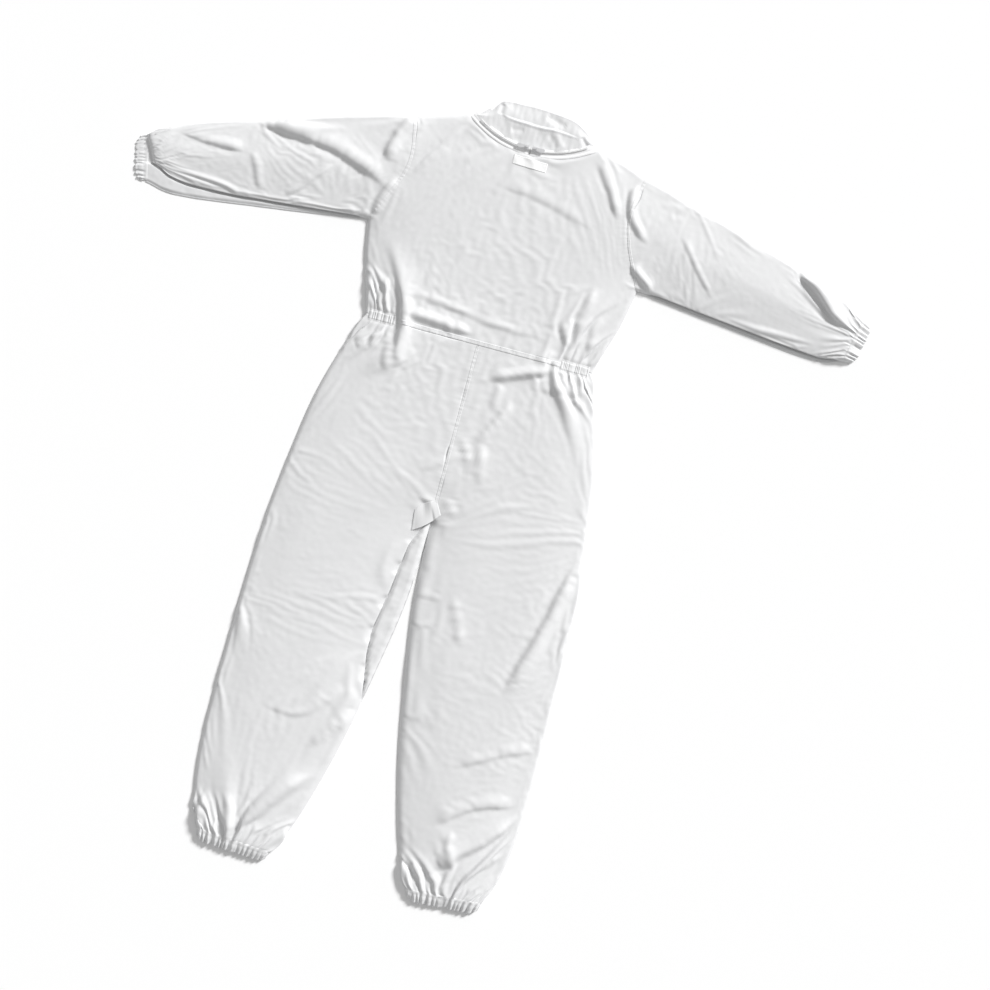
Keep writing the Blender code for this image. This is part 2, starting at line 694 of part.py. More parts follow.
def front_zip():
    """The full-length front zip, closed, under the suit: its outer side faces the floor."""
    tape_low = front_height(Vector((ZIP_OPENING, 0.4))) + CLOTH + GAP
    for side, sign in SIDES.items():
        inner = CHAIN_OUTER + GAP
        xs = sorted([sign * inner, sign * (inner + ZIP_TAPE_WIDTH)])
        block(f"front_zip_tape_{side}", (xs[0], ZIP_BOTTOM_Y, tape_low), (xs[1], ZIP_TOP_Y, tape_low + TAPE_THICKNESS),
              tape())
        xs = sorted([sign * CHAIN_INNER, sign * CHAIN_OUTER])
        block(f"front_zip_teeth_{side}", (xs[0], ZIP_BOTTOM_Y + 0.006, ZIP_CHAIN_Z - CHAIN_HALF_HEIGHT),
              (xs[1], ZIP_TOP_Y - 0.004, ZIP_CHAIN_Z + CHAIN_HALF_HEIGHT), teeth())
        xs = sorted([sign * CHAIN_INNER, sign * (CHAIN_OUTER + GAP / 2)])
        block(f"front_zip_top_stop_{side}", (xs[0], ZIP_TOP_Y - 0.0035, ZIP_CHAIN_Z - 0.0014),
              (xs[1], ZIP_TOP_Y - 0.0005, ZIP_CHAIN_Z + 0.0014), metal())
    block("front_zip_bottom_stop", (-CHAIN_OUTER, ZIP_BOTTOM_Y + 0.0015, ZIP_CHAIN_Z - 0.0014),
          (CHAIN_OUTER, ZIP_BOTTOM_Y + 0.0055, ZIP_CHAIN_Z + 0.0014), metal())
    guard_z = ZIP_CHAIN_Z + PLATE_TOP + 2 * GAP
    block("zip_guard", (-ZIP_GUARD_HALF_WIDTH, ZIP_BOTTOM_Y, guard_z),
          (ZIP_GUARD_HALF_WIDTH, ZIP_TOP_Y - 0.040, guard_z + CASING_WALL), cloth())
    seat = pivot("front_slider_seat", (0, ZIP_TOP_Y - 0.011, ZIP_CHAIN_Z), Matrix.Rotation(math.pi, 4, "Y"))
    slider_body("front_zip_slider", seat)
    swing = pivot("front_pull_axis", (0, 0, PULL_AXIS), parent=seat)
    pull_tab("front_zip_pull", swing)


# ---- label and pockets ----
LABEL = ((-0.029, 0.679), (0.041, 0.698))
CHEST_POCKET = ((-0.185, 0.470), (-0.075, 0.600))
HIP_POCKET = ((0.080, 0.075), (0.215, 0.235))
POCKET_Z = 0.0002
POCKET_THICKNESS = 0.0008


def neck_label():
    (left, low), (right, high) = LABEL
    xs = [mix(left, right, i / 4) for i in range(5)]
    points = [on_back(Vector((x, y)), 2 * GAP) for y in (low, (low + high) / 2, high) for x in xs]
    return sheet("neck_label", points, len(xs), label_cloth(), outward=True, thickness=TAPE_THICKNESS)


def pocket(name, corners):
    """A patch pocket on the outside of the front, between it and the floor."""
    low, high = corners
    block(name, (*low, POCKET_Z), (*high, POCKET_Z + POCKET_THICKNESS), cloth())


def pockets():
    pocket("chest_pocket", CHEST_POCKET)
    (left, low), (right, high) = HIP_POCKET
    pocket("hip_pocket_right", HIP_POCKET)
    pocket("hip_pocket_left", ((-right, low), (-left, high)))


def centre_on_origin():
    """Moves the whole suit so that its box stands centred over the origin."""
    bpy.context.view_layer.update()
    graph = bpy.context.evaluated_depsgraph_get()
    solids = [obj for obj in bpy.data.objects if obj.type == "MESH" and not obj.hide_render]
    corners = [obj.matrix_world @ Vector(c) for obj in solids for c in obj.evaluated_get(graph).bound_box]
    middle = [(min(c[i] for c in corners) + max(c[i] for c in corners)) / 2 for i in range(2)]
    for obj in bpy.data.objects:
        if obj.parent is None:
            obj.location -= Vector((*middle, 0))


def build():
    clear_scene()
    back_bodice()
    collar_back()
    waist_parts()
    for side, sign in SIDES.items():
        front_bodice(side)
        collar_front(side)
        shoulder_axis = pivot(f"shoulder_{side}_axis", (sign * SHOULDER_PIVOT[0], SHOULDER_PIVOT[1], 0))
        hip_axis = pivot(f"hip_{side}_axis", (sign * HIP_PIVOT[0], HIP_PIVOT[1], 0))
        bpy.context.view_layer.update()
        sleeve(side, shoulder_axis)
        sleeve_cuff(side, shoulder_axis)
        trouser_back(side, hip_axis)
        trouser_front(side, hip_axis)
        leg_cuff(side, hip_axis)
        neck_zip(side)
    front_zip()
    neck_label()
    pockets()
    centre_on_origin()


build()
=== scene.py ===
"""The beekeeping suit's looks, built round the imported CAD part: white poplin laid on its front, simulated as
cloth so that its slack gathers at the elastic, with its seams, stitching, hood zips and label on top."""

import json
import math

import bmesh
import bpy
import numpy as np
from mathutils import Matrix, Vector, noise
from mathutils.bvhtree import BVHTree


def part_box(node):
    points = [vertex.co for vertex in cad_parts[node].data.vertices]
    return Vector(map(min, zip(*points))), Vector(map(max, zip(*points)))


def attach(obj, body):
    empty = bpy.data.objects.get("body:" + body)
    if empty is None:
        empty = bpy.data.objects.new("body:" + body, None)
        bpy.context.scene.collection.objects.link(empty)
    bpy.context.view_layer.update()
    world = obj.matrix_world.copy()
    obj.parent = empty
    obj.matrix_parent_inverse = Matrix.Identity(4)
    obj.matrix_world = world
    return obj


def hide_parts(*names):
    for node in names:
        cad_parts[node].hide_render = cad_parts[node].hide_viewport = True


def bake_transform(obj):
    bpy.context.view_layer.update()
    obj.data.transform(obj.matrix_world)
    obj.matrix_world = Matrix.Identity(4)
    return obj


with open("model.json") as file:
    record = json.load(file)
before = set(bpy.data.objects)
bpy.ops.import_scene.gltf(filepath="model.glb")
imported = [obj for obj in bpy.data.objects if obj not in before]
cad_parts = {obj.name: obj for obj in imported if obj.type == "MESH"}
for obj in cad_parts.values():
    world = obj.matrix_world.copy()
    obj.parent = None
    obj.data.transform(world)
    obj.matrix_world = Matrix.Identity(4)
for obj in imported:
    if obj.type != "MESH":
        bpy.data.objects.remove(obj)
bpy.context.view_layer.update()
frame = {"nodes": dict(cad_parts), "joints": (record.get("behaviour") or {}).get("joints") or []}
JOINTS = {joint["name"]: joint for joint in frame["joints"]}

# ---- where the suit lies: the CAD's own outline, about its centre line ----
SHOULDERS = [JOINTS[f"shoulder_{side}_swing"]["pos_m"] for side in ("left", "right")]
SHOULDER_Y = 0.615  # the shoulder pivots' height in the outline's own frame
ORIGIN = np.array([(SHOULDERS[0][0] + SHOULDERS[1][0]) / 2, SHOULDERS[0][1] - SHOULDER_Y])

SHOULDER_TIP = (0.239, 0.723)
NECK_POINT = (0.131, 0.758)
UNDERARM = (0.278, 0.500)
ARMHOLE = [UNDERARM, (0.238, 0.585), (0.226, 0.645), SHOULDER_TIP]
WAIST = (0.233, 0.317)
SIDE_SEAM = [WAIST, (0.240, 0.345), (0.264, 0.425), UNDERARM]
CROTCH = (0.0, -0.047)
HEM_OUTER = (0.294, -0.764)
HEM_INNER = (0.141, -0.774)
OUTER_LEG = [WAIST, (0.253, 0.266), (0.287, 0.146), (0.306, 0.026), (0.323, -0.135), (0.331, -0.375),
             (0.331, -0.575), (0.318, -0.695), HEM_OUTER]
INNER_LEG = [CROTCH, (0.007, -0.214), (0.031, -0.374), (0.061, -0.534), (0.105, -0.694), HEM_INNER]
SLEEVE_REACH = {"left": 0.505, "right": 0.487}
SLEEVE_DROOP = {"left": math.radians(12.7), "right": math.radians(11.8)}
SHOULDER_PIVOT_X = 0.245
SLEEVE_CUFF_HALF_WIDTH = 0.046
# The sleeves' folds between their ends: share of the way along, and how far out of a straight line
SLEEVE_UPPER = ((0.5, 0.012), (0.86, 0.014))
SLEEVE_LOWER = ((0.45, 0.010), (0.85, 0.016))
NECK_RADIUS = 0.206
NECK_CENTRE = (0.0, 0.918)
NECK_HALF_ANGLE = math.radians(39.0)
SIDES = {"left": -1, "right": 1}
SQUARE = ((-1, -1), (1, -1), (1, 1), (-1, 1))
FRONT_NECK_Y = 0.672
FRONT_NECK_MIDDLE = (0.070, 0.695)
COLLAR_FRONT_Y = 0.738
ZIP_BOTTOM_Y = 0.080
ZIP_OPENING = 0.0052

# ---- where the front layer shows past the back layer's fold ----
# How far the back layer is pulled in along each fold: share of the fold's length, metres
SLEEVE_TUCK = {"left": [(0, 0.0), (0.05, 0.005), (0.4, 0.012), (0.6, 0.016), (0.8, 0.025), (0.92, 0.033),
                        (1, 0.040)],
               "right": [(0, 0.0), (0.1, 0.006), (0.8, 0.009), (0.95, 0.006), (1, 0.0)]}
LEG_TUCK = {"left": [(0, 0.0), (0.03, 0.016), (0.08, 0.030), (0.15, 0.036), (0.25, 0.040), (0.33, 0.042),
                     (0.40, 0.032), (0.47, 0.014), (0.53, 0.0), (1, 0.0)],
            "right": [(0, 0.0), (1, 0.0)]}

# ---- the simulated sheet ----
CELL = 0.0058  # the sheet's grid before it is smoothed
WELD_WITHIN = 2e-5
SIDE_FINER = 0.38  # how much finer its columns are at the side seams
EDGE_Z = 0.0034  # the folded edges, while the sheet settles
TUCK_Z = 0.0090  # the same where they lie on the front layer
MOUTH_Z = 0.0134  # the neck, wrists and ankles
MOUTH_ROLL = 0.0253  # how far in from their folded ends they reach that height
MOUTH_FADE = 0.09
AT_MOUTH = 0.0008  # an open edge this near the line of a mouth belongs to it
BODY_Z = 0.0170
LIP = 0.0060  # how far the sheet rises at its folded edge, in about LIP_REACH
LIP_REACH = 0.0040
CREST_REACH = 0.055
EDGE_FLOOR = 0.0007  # what the folded edges are turned down to
TUCK_DROP = 0.0030  # how far they are turned down where they lie on the front layer
EDGE_OUT = 0.0011
EDGE_RINGS = ((1.0, 0.45), (0.3, 1.0))  # the rings of points of a turned edge: how far out, and how far down
EDGE_POINTS = 120  # on a sleeve's or leg's fold, to find what is near it
TUCK_STARTS = 0.008  # a tuck this deep lifts the fold the whole way
GATHER = {"sleeve": (0.0094, 0.0032), "leg": (0.0114, 0.0050), "waist": (0.0115, 0.0034)}  # pitch and height
WAIST_BAND_HALF = 0.013
NECK_HELD = 0.0105  # how far from the neck seam the cloth is held by the zip tape

# ---- the cloth's slack ----
SLACK = 0.0035  # everywhere
CUFF_SLACK = {"sleeve": (0.75, 0.060), "leg": (0.80, 0.080)}  # extra width at a cuff, and how far up it reaches
WAIST_SLACK = 0.60
WAIST_SLACK_REACH = 0.095
WAIST_ELASTIC = 0.066  # how far in from the side seams the waist is gathered
FOLD_STEPS = 40
FOLD_REACH = 0.07  # how far from a fold its extra cloth comes from
WAVY = (0.0016, 0.095)  # unevenness in the flat cloth: how much, and over what length
CRINKLED = (0.0004, 0.034)
# Folds that the suit was laid down with, in millimetres: along these points, this much extra cloth, within about
# this width, started off this high
FOLDS_MM = [
    ([(-547, 635), (-476, 635), (-392, 629), (-313, 605), (-241, 570)], 20, 12, 10),
    ([(-689, 579), (-615, 573), (-542, 572)], 10, 9, 6),
    ([(-534, 579), (-497, 497)], 6, 7, 3),
    ([(-454, 499), (-411, 545), (-363, 600)], 4, 3.5, 4),
    ([(-279, 612), (-263, 668), (-239, 730)], 12, 8, 9),
    ([(-272, 500), (-259, 553), (-237, 600)], 8, 5, 6),
    ([(-220, 605), (-176, 674), (-129, 737)], 5, 5, 3),
    ([(569, 638), (636, 594), (701, 531)], 18, 9, 12),
    ([(333, 631), (429, 518)], 4, 3.5, 3),
    ([(230, 713), (219, 677), (234, 635), (274, 594)], 9, 5, 6),
    ([(251, 547), (308, 506)], 8, 5, 6),
    ([(-53, 639), (45, 628), (176, 595)], 6, 10, 3),
    ([(134, 737), (179, 678), (214, 626)], 8, 8, 5),
    ([(-190, 377), (-95, 371), (3, 362), (149, 356)], 6, 4, 4),
    ([(-174, 342), (-86, 338), (-6, 335)], 10, 6, 8),
    ([(-237, 337), (-260, 416)], 9, 4, 7),
    ([(-210, 336), (-212, 400)], 10, 4, 8),
    ([(186, 349), (189, 416), (195, 488)], 11, 3.5, 8),
    ([(212, 348), (214, 392), (220, 441)], 9, 3.5, 7),
    ([(174, 348), (157, 404)], 7, 3.5, 6),
    ([(-226, 290), (-225, 239)], 8, 4, 7),
    ([(-206, 290), (-201, 250)], 8, 3.5, 6),
    ([(-181, 290), (-166, 213)], 8, 4, 6),
    ([(33, 250), (101, 281), (164, 300)], 12, 5, 10),
    ([(139, 262), (227, 275)], 10, 3.5, 8),
    ([(208, 305), (235, 238)], 8, 3.5, 6),
    ([(89, 228), (75, 178), (40, 115)], 8, 5, 6),
    ([(52, 131), (70, 41)], 7, 4, 5),
    ([(60, 257), (61, 191)], 5, 4, 4),
    ([(-48, 42), (-4, 70), (30, 100)], 4, 4, 3),
    ([(-32, -10), (-4, -13)], 6, 3, 5),
    ([(77, -177), (103, -228), (123, -281)], 6, 3.5, 4),
    ([(10, -199), (61, -196)], 6, 3.5, 4),
    ([(309, -40), (294, -115), (276, -202), (230, -364)], 14, 9, 9),
    ([(-238, -485), (-145, -485), (-72, -395)], 6, 5, 4),
    ([(-123, -552), (-85, -502), (-49, -451)], 7, 5, 5),
    ([(163, -512), (252, -461), (328, -433)], 7, 10, 4),
    ([(-383, -193), (-318, -341), (-305, -420)], 6, 10, 4),
    ([(-296, -679), (-292, -731), (-277, -781)], 15, 5, 12),
    ([(-260, -673), (-237, -723), (-226, -784)], 9, 5, 6),
    ([(-102, -590), (-148, -651), (-195, -708), (-246, -748)], 15, 7, 10),
    ([(169, -736), (217, -678), (259, -640), (322, -573)], 18, 6, 12),
    ([(153, -633), (222, -581), (316, -544)], 9, 12, 6),
    ([(231, -728), (314, -652)], 8, 5, 7),
    ([(199, -633), (213, -716)], 6, 4, 4),
    ([(-28, -85), (-12, -60), (11, -33)], 8, 4, 8),
    ([(15, 129), (42, 83), (45, 34)], 6, 3, 6),
    ([(56, 111), (54, 57)], 5, 3, 5),
    ([(15, 1), (39, -34)], 6, 3, 5),
]

# ---- the cloth as Blender's solver takes it ----
CLEARANCE = 0.0012
START_NOISE = 0.0006
THINNED = 0.12  # share of its faces that the front layer's stand-in keeps
CLOTH = {"quality": 5, "mass": 0.02, "air_damping": 1.0, "tension_stiffness": 15, "compression_stiffness": 15,
         "shear_stiffness": 7.5, "bending_stiffness": 0.06, "tension_damping": 8, "compression_damping": 8,
         "shear_damping": 6, "bending_damping": 0.6, "vertex_group_mass": "pins"}
CLOTH_GAP = 0.001
FRICTION = 3
GATHERED_FRAME = 20
LAST_FRAME = 42

# ---- sewing ----
LIGHT_ACROSS = (0.60, 0.84)  # the light's direction over the cloth
CREASE_SHIFT = 0.7  # how far down the fold its sharp side is, as a share of its width
CREASE_RUN = 0.0036  # the width of the step
CREASE_SHARE = 0.65  # its height, as a share of the fold's
CREASE_PASSES = 2
CREASE_DRIFT = (0.0012, 0.03)  # how far it wanders, and over what length
CREASE_WIDTH = (3.4, 1.5)  # how far its high and low side reach, as shares of its width
SLUB = 0.00012
PUCKER = 0.00045
LOWEST = 0.0008  # no lower than this above the floor
PUCKER_PITCH = 0.008
PUCKER_REACH = 0.010
SEAM_DIP = (0.0003, 0.004)  # depth and width
SHEET_WALL = 0.0005
ON_TOP = 0.0002  # thread or cloth that lies on cloth is this much above it
STITCH_PITCH = 0.0034
STITCH_LENGTH = 0.0026
THREAD = 0.0005
STEP = 0.002  # between the points of a row of stitches
FRONT_CELL = 0.0055
FRONT_EDGE_Z = 0.0011
FRONT_CROWN = 0.0016
FRONT_ZIP_LIFT = 0.0030
POCKET_CORNER = 0.012
POCKET_HEM = 0.018  # the wide one at its mouth
POCKET_WALL = 0.0004
SHOWN_BULGE = {"sleeve": 0.0032, "leg": 0.0062}
SHOWN_GROOVE = 0.0055
SHOWN_SHOULDER = 0.007
CUFF_CELL = 0.0009
CUFF_DEPTH = 0.0225
CUFF_FLOOR = 0.0004
CUFF_SMOOTHING = (0.1, 0.2, 0.4, 0.2, 0.1)
CUFF_END_ROUND = 0.0025
CUFF_END_CALM = 0.006
CUFF_DRAWN_IN = 0.05
CUFF_WAVE = 0.0036  # how far the gathers move its open end
CUFF_FINE = (0.0022, 0.0016)  # how far the finer waves move it, along and out
CUFF_CORNER = (0.0075, 0.018)  # how far its corners are drawn back, and over what width
# The casing from its edge on the panels to its open end and back inside: how far along, how much lower, how far in,
# and how deep its gathers are
CUFF_PROFILE = [(-0.0046, 0.0, 0.0010, 0.0), (-0.0034, 0.0, -0.0002, 0.0), (-0.0014, 0.0, -0.0004, 0.0),
                (0.0008, 0.0, -0.0002, 0.0002), (0.0024, 0.02, 0.0, 0.0006), (0.0040, 0.06, 0.0002, 0.0010),
                (0.0060, 0.09, -0.0001, 0.0018), (0.0085, 0.14, -0.0001, 0.0024), (0.0110, 0.20, 0.0, 0.0027),
                (0.0135, 0.27, 0.0, 0.0026), (0.0155, 0.34, 0.0003, 0.0018), (0.0175, 0.40, 0.0, 0.0024),
                (0.0195, 0.48, 0.0, 0.0027), (0.0208, 0.56, 0.0005, 0.0024), (0.0213, 0.62, 0.0010, 0.0018),
                (0.0205, 0.64, 0.0016, 0.0010), (0.0170, 0.55, 0.0022, 0.0005), (0.0060, 0.20, 0.0022, 0.0)]
CUFF_STITCH_ROWS = (5, 10)
ELASTIC_PROFILE = [(0.0050, 0.20, 0.0012, 0.0), (0.0050, 0.20, 0.0006, 0.0), (0.0090, 0.28, 0.0006, 0.0),
                   (0.0130, 0.40, 0.0006, 0.0), (0.0130, 0.40, 0.0012, 0.0)]

COLLAR_TOP = [(-0.124, 0.757), (-0.0948, 0.773), (-0.0749, 0.7965), (-0.030, 0.8005), (0.0075, 0.8005),
              (0.0648, 0.795), (0.0955, 0.7805), (0.1235, 0.757)]
COLLAR_FRONT_LOW = [(0.0065, FRONT_NECK_Y), FRONT_NECK_MIDDLE, (0.126, 0.752)]
COLLAR_FRONT_HIGH = [(0.0065, COLLAR_FRONT_Y), (0.060, 0.752), (0.098, 0.778)]
COLLAR_FRONT_Z = 0.0030
COLLAR_INSET = math.radians(1.6)
COLLAR_ROLL = 0.0010  # how far it stands above the neck seam
COLLAR_LIP = 0.0012  # how far it rises at its band's edge
COLLAR_EDGE_AT = 0.60  # share of the way from the neck seam to the top
COLLAR_EDGE_WIDTH = 0.035
COLLAR_STEP = 0.0030
COLLAR_RIM_Z = 0.0085
# From here to here, how high, and how wide
COLLAR_FOLDS = [([(-0.074, 0.792), (-0.077, 0.768)], -0.0022, 0.0045),
                ([(-0.064, 0.792), (-0.068, 0.765)], 0.0012, 0.0050),
                ([(0.012, 0.790), (0.060, 0.778)], -0.0022, 0.0070),
                ([(0.026, 0.758), (0.052, 0.728)], -0.0014, 0.0060),
                ([(0.040, 0.762), (0.064, 0.732)], 0.0014, 0.0060),
                ([(-0.050, 0.745), (-0.020, 0.750)], -0.0014, 0.0060),
                ([(0.092, 0.768), (0.108, 0.748)], -0.0022, 0.0045)]
NECK_TAPE_PROFILE = [(0.2150, -0.0010), (0.2146, 0.0010), (0.2138, 0.0015), (0.2120, 0.0016), (0.2100, 0.0015),
                     (0.2088, 0.0009), (0.2080, 0.0008), (0.2070, 0.0012), (0.2050, 0.0014), (0.2030, 0.0013),
                     (0.2010, 0.0012), (0.1990, 0.0012), (0.1975, 0.0012), (0.1968, 0.0010), (0.1965, 0.0000)]
NECK_TAPE_STITCHES = (3, 8)
NECK_SLIDER_RADIUS = 0.1995
NECK_CHAIN_START = math.radians(1.0)
NECK_CHAIN_END = math.radians(33.0)
TOOTH_PITCH = 0.0016
TOOTH_SIZE = (0.00048, 0.0011, 0.0011)  # half its size along, across and up
TOOTH_LEVELS = ((-1, 0.75), (-0.4, 1.0), (0.4, 1.0), (1, 0.75))  # how high, and how wide there
TEETH_OUT = 0.0018  # how far their middle is outside the slider's path
CORD_PROFILE = ((0.0016, 0.0), (0.0021, 0.0007), (0.0028, 0.0009), (0.0034, 0.0004), (0.0034, -0.0006))
LABEL_TILT = math.radians(-1.5)
LABEL_RISE = 0.0008
LABEL_HEM = (0.0003, 0.0018)  # height and width
LABEL_EDGE = (0.0012, 0.0004)
LABEL_CURL = (0.0005, 0.02)
WAIST_STRIP_HALF = 0.0125
SHIRR_PITCH = 0.0062
SHIRR_HEIGHT = 0.0012
SHIRR_ROW = (0.30, 0.12)  # where a row of stitches holds it down, from its edge to its middle, and how wide that is
SEAM_WELT = (0.0034, 0.0005)  # half width and height
WAIST_WELT = (0.0052, 0.0008)
WELT_PROFILE = [(-1.0, -0.5), (-0.86, 0.75), (-0.6, 1.0), (-0.2, 0.95), (0.2, 0.9), (0.6, 0.85), (0.86, 0.6),
                (1.0, -0.5)]
WELT_CELL = 0.0016

# ---- the flap of cloth over the crotch ----
FLAP_TOP = [(-0.0375, -0.0359), (-0.0233, -0.0196), (0.0003, -0.0071)]
FLAP_LOW = [(-0.0344, -0.0785), (-0.0066, -0.0587), (0.0158, -0.0340)]
FLAP_FLOOR = 0.0090
FLAP_RISE = 0.0050

# ---- where a sleeve's bend would start, and its length; the sleeves and legs are not bent ----
SLEEVE_BEND_START = (0.235, 0.615)
SLEEVE_BEND = 0.16


# ---- plane curves ----
EITHER_SIDE = 0.004  # of a place on a curve, to find its direction there


def smooth(t):
    t = np.clip(t, 0, 1)
    return t * t * (3 - 2 * t)


def spline(points, count=400):
    """A smooth curve through the points, as a function of 0 to 1 by length."""
    points = np.array(points, float)
    if len(points) > 2:
        ends = np.vstack([2 * points[0] - points[1], points, 2 * points[-1] - points[-2]])
        spans = len(points) - 1
        t = np.linspace(0, spans, count)
        i = np.minimum(t.astype(int), spans - 1)
        s = (t - i)[:, None]
        a, b, c, d = (ends[i + k] for k in range(4))
        points = 0.5 * (2 * b + (c - a) * s + (2 * a - 5 * b + 4 * c - d) * s**2 + (3 * b - a - 3 * c + d) * s**3)
    length = reach_along(points)

    def at(t):
        reach = np.asarray(t) * length[-1]
        return np.stack([np.interp(reach, length, points[:, k]) for k in range(2)], axis=-1)

    at.length = length[-1]
    return at


def chain_of(curves):
    """Curves end to end, by length."""
    total = sum(c.length for c in curves)
    starts = np.cumsum([0] + [c.length / total for c in curves])

    def at(t):
        t = np.atleast_1d(t)
        out = np.zeros((len(t), 2))
        for k, curve in enumerate(curves):
            inside = (t >= starts[k]) & ((t < starts[k + 1]) | (k == len(curves) - 1))
            out[inside] = curve((t[inside] - starts[k]) / (starts[k + 1] - starts[k]))
        return out

    at.length = total
    return at


def reverse(curve):
    def at(t):
        return curve(1 - np.asarray(t))

    at.length = curve.length
    return at


def to_left(run):
    """The unit directions to the left of these."""
    return np.column_stack([-run[:, 1], run[:, 0]]) / np.hypot(*run.T)[:, None]


def reach_along(line):
    """How far along a polyline each of its points is."""
    return np.concatenate([[0], np.cumsum(np.hypot(*np.diff(line, axis=0).T))])


def mirrored(points, side):
    return [(SIDES[side] * x, y) for x, y in points]


def on_neck(angle, radius=NECK_RADIUS):
    return np.stack([NECK_CENTRE[0] + radius * np.sin(angle), NECK_CENTRE[1] - radius * np.cos(angle)], axis=-1)


def sleeve_axis(side):
    return np.array([SIDES[side] * math.cos(SLEEVE_DROOP[side]), -math.sin(SLEEVE_DROOP[side])])


def sleeve_across(side):
    x, y = sleeve_axis(side)
    return np.array([-y, x]) * SIDES[side]


def sleeve_end(side):
    return np.array([SIDES[side] * SHOULDER_PIVOT_X, SHOULDER_Y]) + sleeve_axis(side) * SLEEVE_REACH[side]


def tucked(curve, side, profile):
    """The curve, pulled in by the widths in profile, as (share of its length, metres)."""
    def at(t):
        t = np.atleast_1d(t).astype(float)
        run = curve(np.minimum(t + EITHER_SIDE, 1)) - curve(np.maximum(t - EITHER_SIDE, 0))
        return curve(t) + to_left(run) * side * np.interp(t, *zip(*profile))[:, None]

    at.length = curve.length
    return at


def sleeve_edges(side, layer="back"):
    """The sleeve's upper and lower fold, from the armhole to the cuff."""
    tip, underarm = np.array(mirrored([SHOULDER_TIP, UNDERARM], side))
    across = sleeve_across(side)
    top = sleeve_end(side) + across * SLEEVE_CUFF_HALF_WIDTH
    bottom = sleeve_end(side) - across * SLEEVE_CUFF_HALF_WIDTH
    upper = [tip, *(tip + (top - tip) * share + across * out for share, out in SLEEVE_UPPER), top]
    lower = [underarm, *(underarm + (bottom - underarm) * share - across * out for share, out in SLEEVE_LOWER),
             bottom]
    if layer == "front":
        return spline(upper), spline(lower)
    return spline(upper), tucked(spline(lower), SIDES[side], SLEEVE_TUCK[side])


def inner_leg(side, layer="back"):
    curve = spline(mirrored(INNER_LEG, side))
    return curve if layer == "front" else tucked(curve, SIDES[side], LEG_TUCK[side])


def toward_sides(s):
    """0 to 1 from the centre line to the side, in steps that grow finer on the way."""
    return s * (1 + SIDE_FINER) - SIDE_FINER * s * s


def patch(bottom, top, left, right, u, rows):
    """A Coons grid of plane points, row by row from the bottom, with its columns at u."""
    v = np.linspace(0, 1, rows + 1)
    b, t, l, r = bottom(u)[None], top(u)[None], left(v)[:, None], right(v)[:, None]
    uu, vv = u[None, :, None], v[:, None, None]
    ruled = b * (1 - vv) + t * vv + l * (1 - uu) + r * uu
    corners = (b[:, :1] * (1 - uu) + b[:, -1:] * uu) * (1 - vv) + (t[:, :1] * (1 - uu) + t[:, -1:] * uu) * vv
    return ruled - corners


def edges_of(faces):
    """Every face's edges in turn, each as (from, to) in its face's direction."""
    return np.concatenate([faces[:, [k, (k + 1) % 4]] for k in range(4)])


def boundary(faces):
    """The sheet's open edges."""
    edges = edges_of(faces)
    _, first, counts = np.unique(np.sort(edges, axis=1), axis=0, return_index=True, return_counts=True)
    return edges[first[counts == 1]]


def folded_edges(plane, faces):
    """The sheet's open edges but for those at the neck, wrists and ankles."""
    edges = boundary(faces)
    return edges[(mouth_distance(plane[edges.ravel()]).reshape(-1, 2) >= AT_MOUTH).any(1)]


def by_rows(low, high, low_rows, high_rows):
    """Two curves end to end with a fixed number of rows each, so that a neighbour's grid can meet them."""
    rows = low_rows + high_rows

    def at(t):
        t = np.atleast_1d(t) * rows
        first = low(np.clip(t / low_rows, 0, 1))
        second = high(np.clip((t - low_rows) / high_rows, 0, 1))
        return np.where((t <= low_rows)[:, None], first, second)

    return at


def panels(layer="back", cell=CELL, opening=0.0):
    """Every panel of a layer as a grid of plane points. Neighbours share the points along their seams."""
    half = round(WAIST[0] / cell)
    steps = toward_sides(np.linspace(0, 1, half + 1))
    side_rows = round(spline(SIDE_SEAM).length / cell)
    armhole_rows = round(spline(ARMHOLE).length / cell)
    seam_rows, leg_rows = round((WAIST[1] - CROTCH[1]) / cell), round(spline(INNER_LEG).length / cell)
    made = {}
    for side, sign in SIDES.items():
        tip = mirrored([SHOULDER_TIP], side)[0]
        middle = (sign * opening, 0.0)
        if layer == "front":
            low, high = mirrored([FRONT_NECK_MIDDLE, NECK_POINT], side)
            neck = spline([(middle[0], FRONT_NECK_Y), low, high])
        else:
            neck = spline(on_neck(np.linspace(0, sign * NECK_HALF_ANGLE, 80)))
        top = chain_of([neck, spline([neck(1), tip])])
        bottom = spline([(middle[0], WAIST[1]), (sign * WAIST[0], WAIST[1])])
        centre = spline([(middle[0], WAIST[1]), neck(0)])
        seam = by_rows(spline(mirrored(SIDE_SEAM, side)), spline(mirrored(ARMHOLE, side)), side_rows, armhole_rows)
        made[f"bodice_{side}"] = patch(bottom, top, centre, seam, steps, side_rows + armhole_rows)
        upper, lower = sleeve_edges(side, layer)
        cuff = spline([upper(1).ravel(), lower(1).ravel()])
        armhole = reverse(spline(mirrored(ARMHOLE, side)))
        columns = np.linspace(0, 1, armhole_rows + 1)
        made[f"sleeve_{side}"] = patch(armhole, cuff, upper, lower, columns, round(upper.length / cell))
        outer, leg = spline(mirrored(OUTER_LEG, side)), inner_leg(side, layer)
        fly = spline([(middle[0], WAIST[1]), (middle[0], ZIP_BOTTOM_Y), CROTCH] if opening else
                     [(0, WAIST[1]), CROTCH])
        inner = by_rows(fly, leg, seam_rows, leg_rows)
        waist = spline([(sign * WAIST[0], WAIST[1]), (middle[0], WAIST[1])])
        hem = spline([outer(1).ravel(), leg(1).ravel()])
        made[f"trouser_{side}"] = patch(waist, hem, outer, inner, 1 - steps[::-1], seam_rows + leg_rows)
    return made


